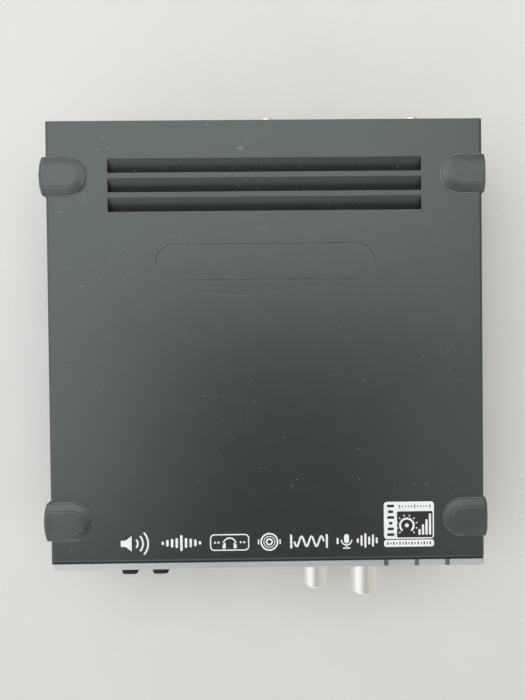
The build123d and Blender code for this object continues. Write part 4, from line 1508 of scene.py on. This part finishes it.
def light_world(scene, zenith, left, right):
    """Even surroundings, paler low down, on the left and at the front, warm on the right."""
    world = bpy.data.worlds.new("Studio")
    world.use_nodes = True
    nodes = Nodes(world.node_tree)
    nodes.tree.nodes.clear()
    axes = nodes.split(nodes.put("ShaderNodeTexCoord", {}).outputs["Generated"])
    side = nodes.step(axes["X"], -SIDE_REACH, SIDE_REACH, left, right)
    side = nodes.times(side, nodes.step(axes["Y"], *FRONT_BAND, 1.0, FRONT_GAIN))
    low_down = nodes.step(axes["Z"], *LOW_BAND)
    level = nodes.plus(nodes.times(low_down, nodes.maths("SUBTRACT", side, zenith)), zenith)
    hue = nodes.mix(nodes.step(axes["X"], *WARM_BAND), EVEN_WHITE, WARM_WHITE)
    sky = nodes.put("ShaderNodeBackground", {"Color": hue, "Strength": level}).outputs[0]
    nodes.put("ShaderNodeOutputWorld", {"Surface": sky})
    scene.world = world


def set_camera(scene, stage):
    """Camera above the cover, looking down at the photograph's angle."""
    camera = bpy.data.objects.new("Camera", bpy.data.cameras.new("Camera"))
    camera.data.lens = stage.camera_lens
    camera.data.clip_start = NEAREST_VIEW
    camera.location = (stage.camera_side, stage.camera_depth, COVER_TOP + stage.camera_height)
    camera.rotation_euler = stage.camera_tilt
    scene.collection.objects.link(camera)
    scene.camera = camera


class BREAKOUT_OT_stage(FinishStep, bpy.types.Operator):
    """Sets the floor, the surroundings, three soft lights and the camera"""

    bl_idname = "breakout.stage"
    bl_label = "Set the stage"

    def execute(self, context):
        scene = context.scene
        stage = scene.breakout_stage
        scene.view_settings.view_transform = "Standard"
        lay_floor(scene, tuple(stage.floor_colour))
        light_world(scene, stage.zenith_light, stage.left_horizon, stage.right_horizon)
        for name, place, size, colour, power in LIGHTS:
            soft_light(scene, name, place, size, getattr(stage, power), colour)
        set_camera(scene, stage)
        return {"FINISHED"}


STEPS = (
    BREAKOUT_OT_case,
    BREAKOUT_OT_front,
    BREAKOUT_OT_bumpers,
    BREAKOUT_OT_knobs,
    BREAKOUT_OT_jacks,
    BREAKOUT_OT_optical,
    BREAKOUT_OT_phono,
    BREAKOUT_OT_link,
    BREAKOUT_OT_screws,
    BREAKOUT_OT_boards,
    BREAKOUT_OT_marks,
    BREAKOUT_OT_badge,
    BREAKOUT_OT_stage,
)
SETTINGS = {
    "breakout_finish": BreakoutFinish,
    "breakout_detail": BreakoutDetail,
    "breakout_stage": BreakoutStage,
}


class BREAKOUT_PT_panel(bpy.types.Panel):
    """Lists the finishes, the detail, the stage and the steps"""

    bl_idname = "BREAKOUT_PT_panel"
    bl_label = "Breakout box"
    bl_space_type = "VIEW_3D"
    bl_region_type = "UI"
    bl_category = "Breakout box"

    def draw(self, context):
        for name, settings in SETTINGS.items():
            group = self.layout.box()
            for key in settings.__annotations__:
                group.prop(getattr(context.scene, name), key)
        for step in STEPS:
            self.layout.operator(step.bl_idname)


def register():
    for name, settings in SETTINGS.items():
        bpy.utils.register_class(settings)
        setattr(bpy.types.Scene, name, bpy.props.PointerProperty(type=settings))
    for cls in (*STEPS, BREAKOUT_PT_panel):
        bpy.utils.register_class(cls)


def unregister():
    for cls in reversed((*STEPS, BREAKOUT_PT_panel)):
        bpy.utils.unregister_class(cls)
    for name, settings in SETTINGS.items():
        delattr(bpy.types.Scene, name)
        bpy.utils.unregister_class(settings)


def main():
    register()
    for step in STEPS:
        family, name = step.bl_idname.split(".")
        getattr(getattr(bpy.ops, family), name)()


if __name__ == "__main__":
    main()
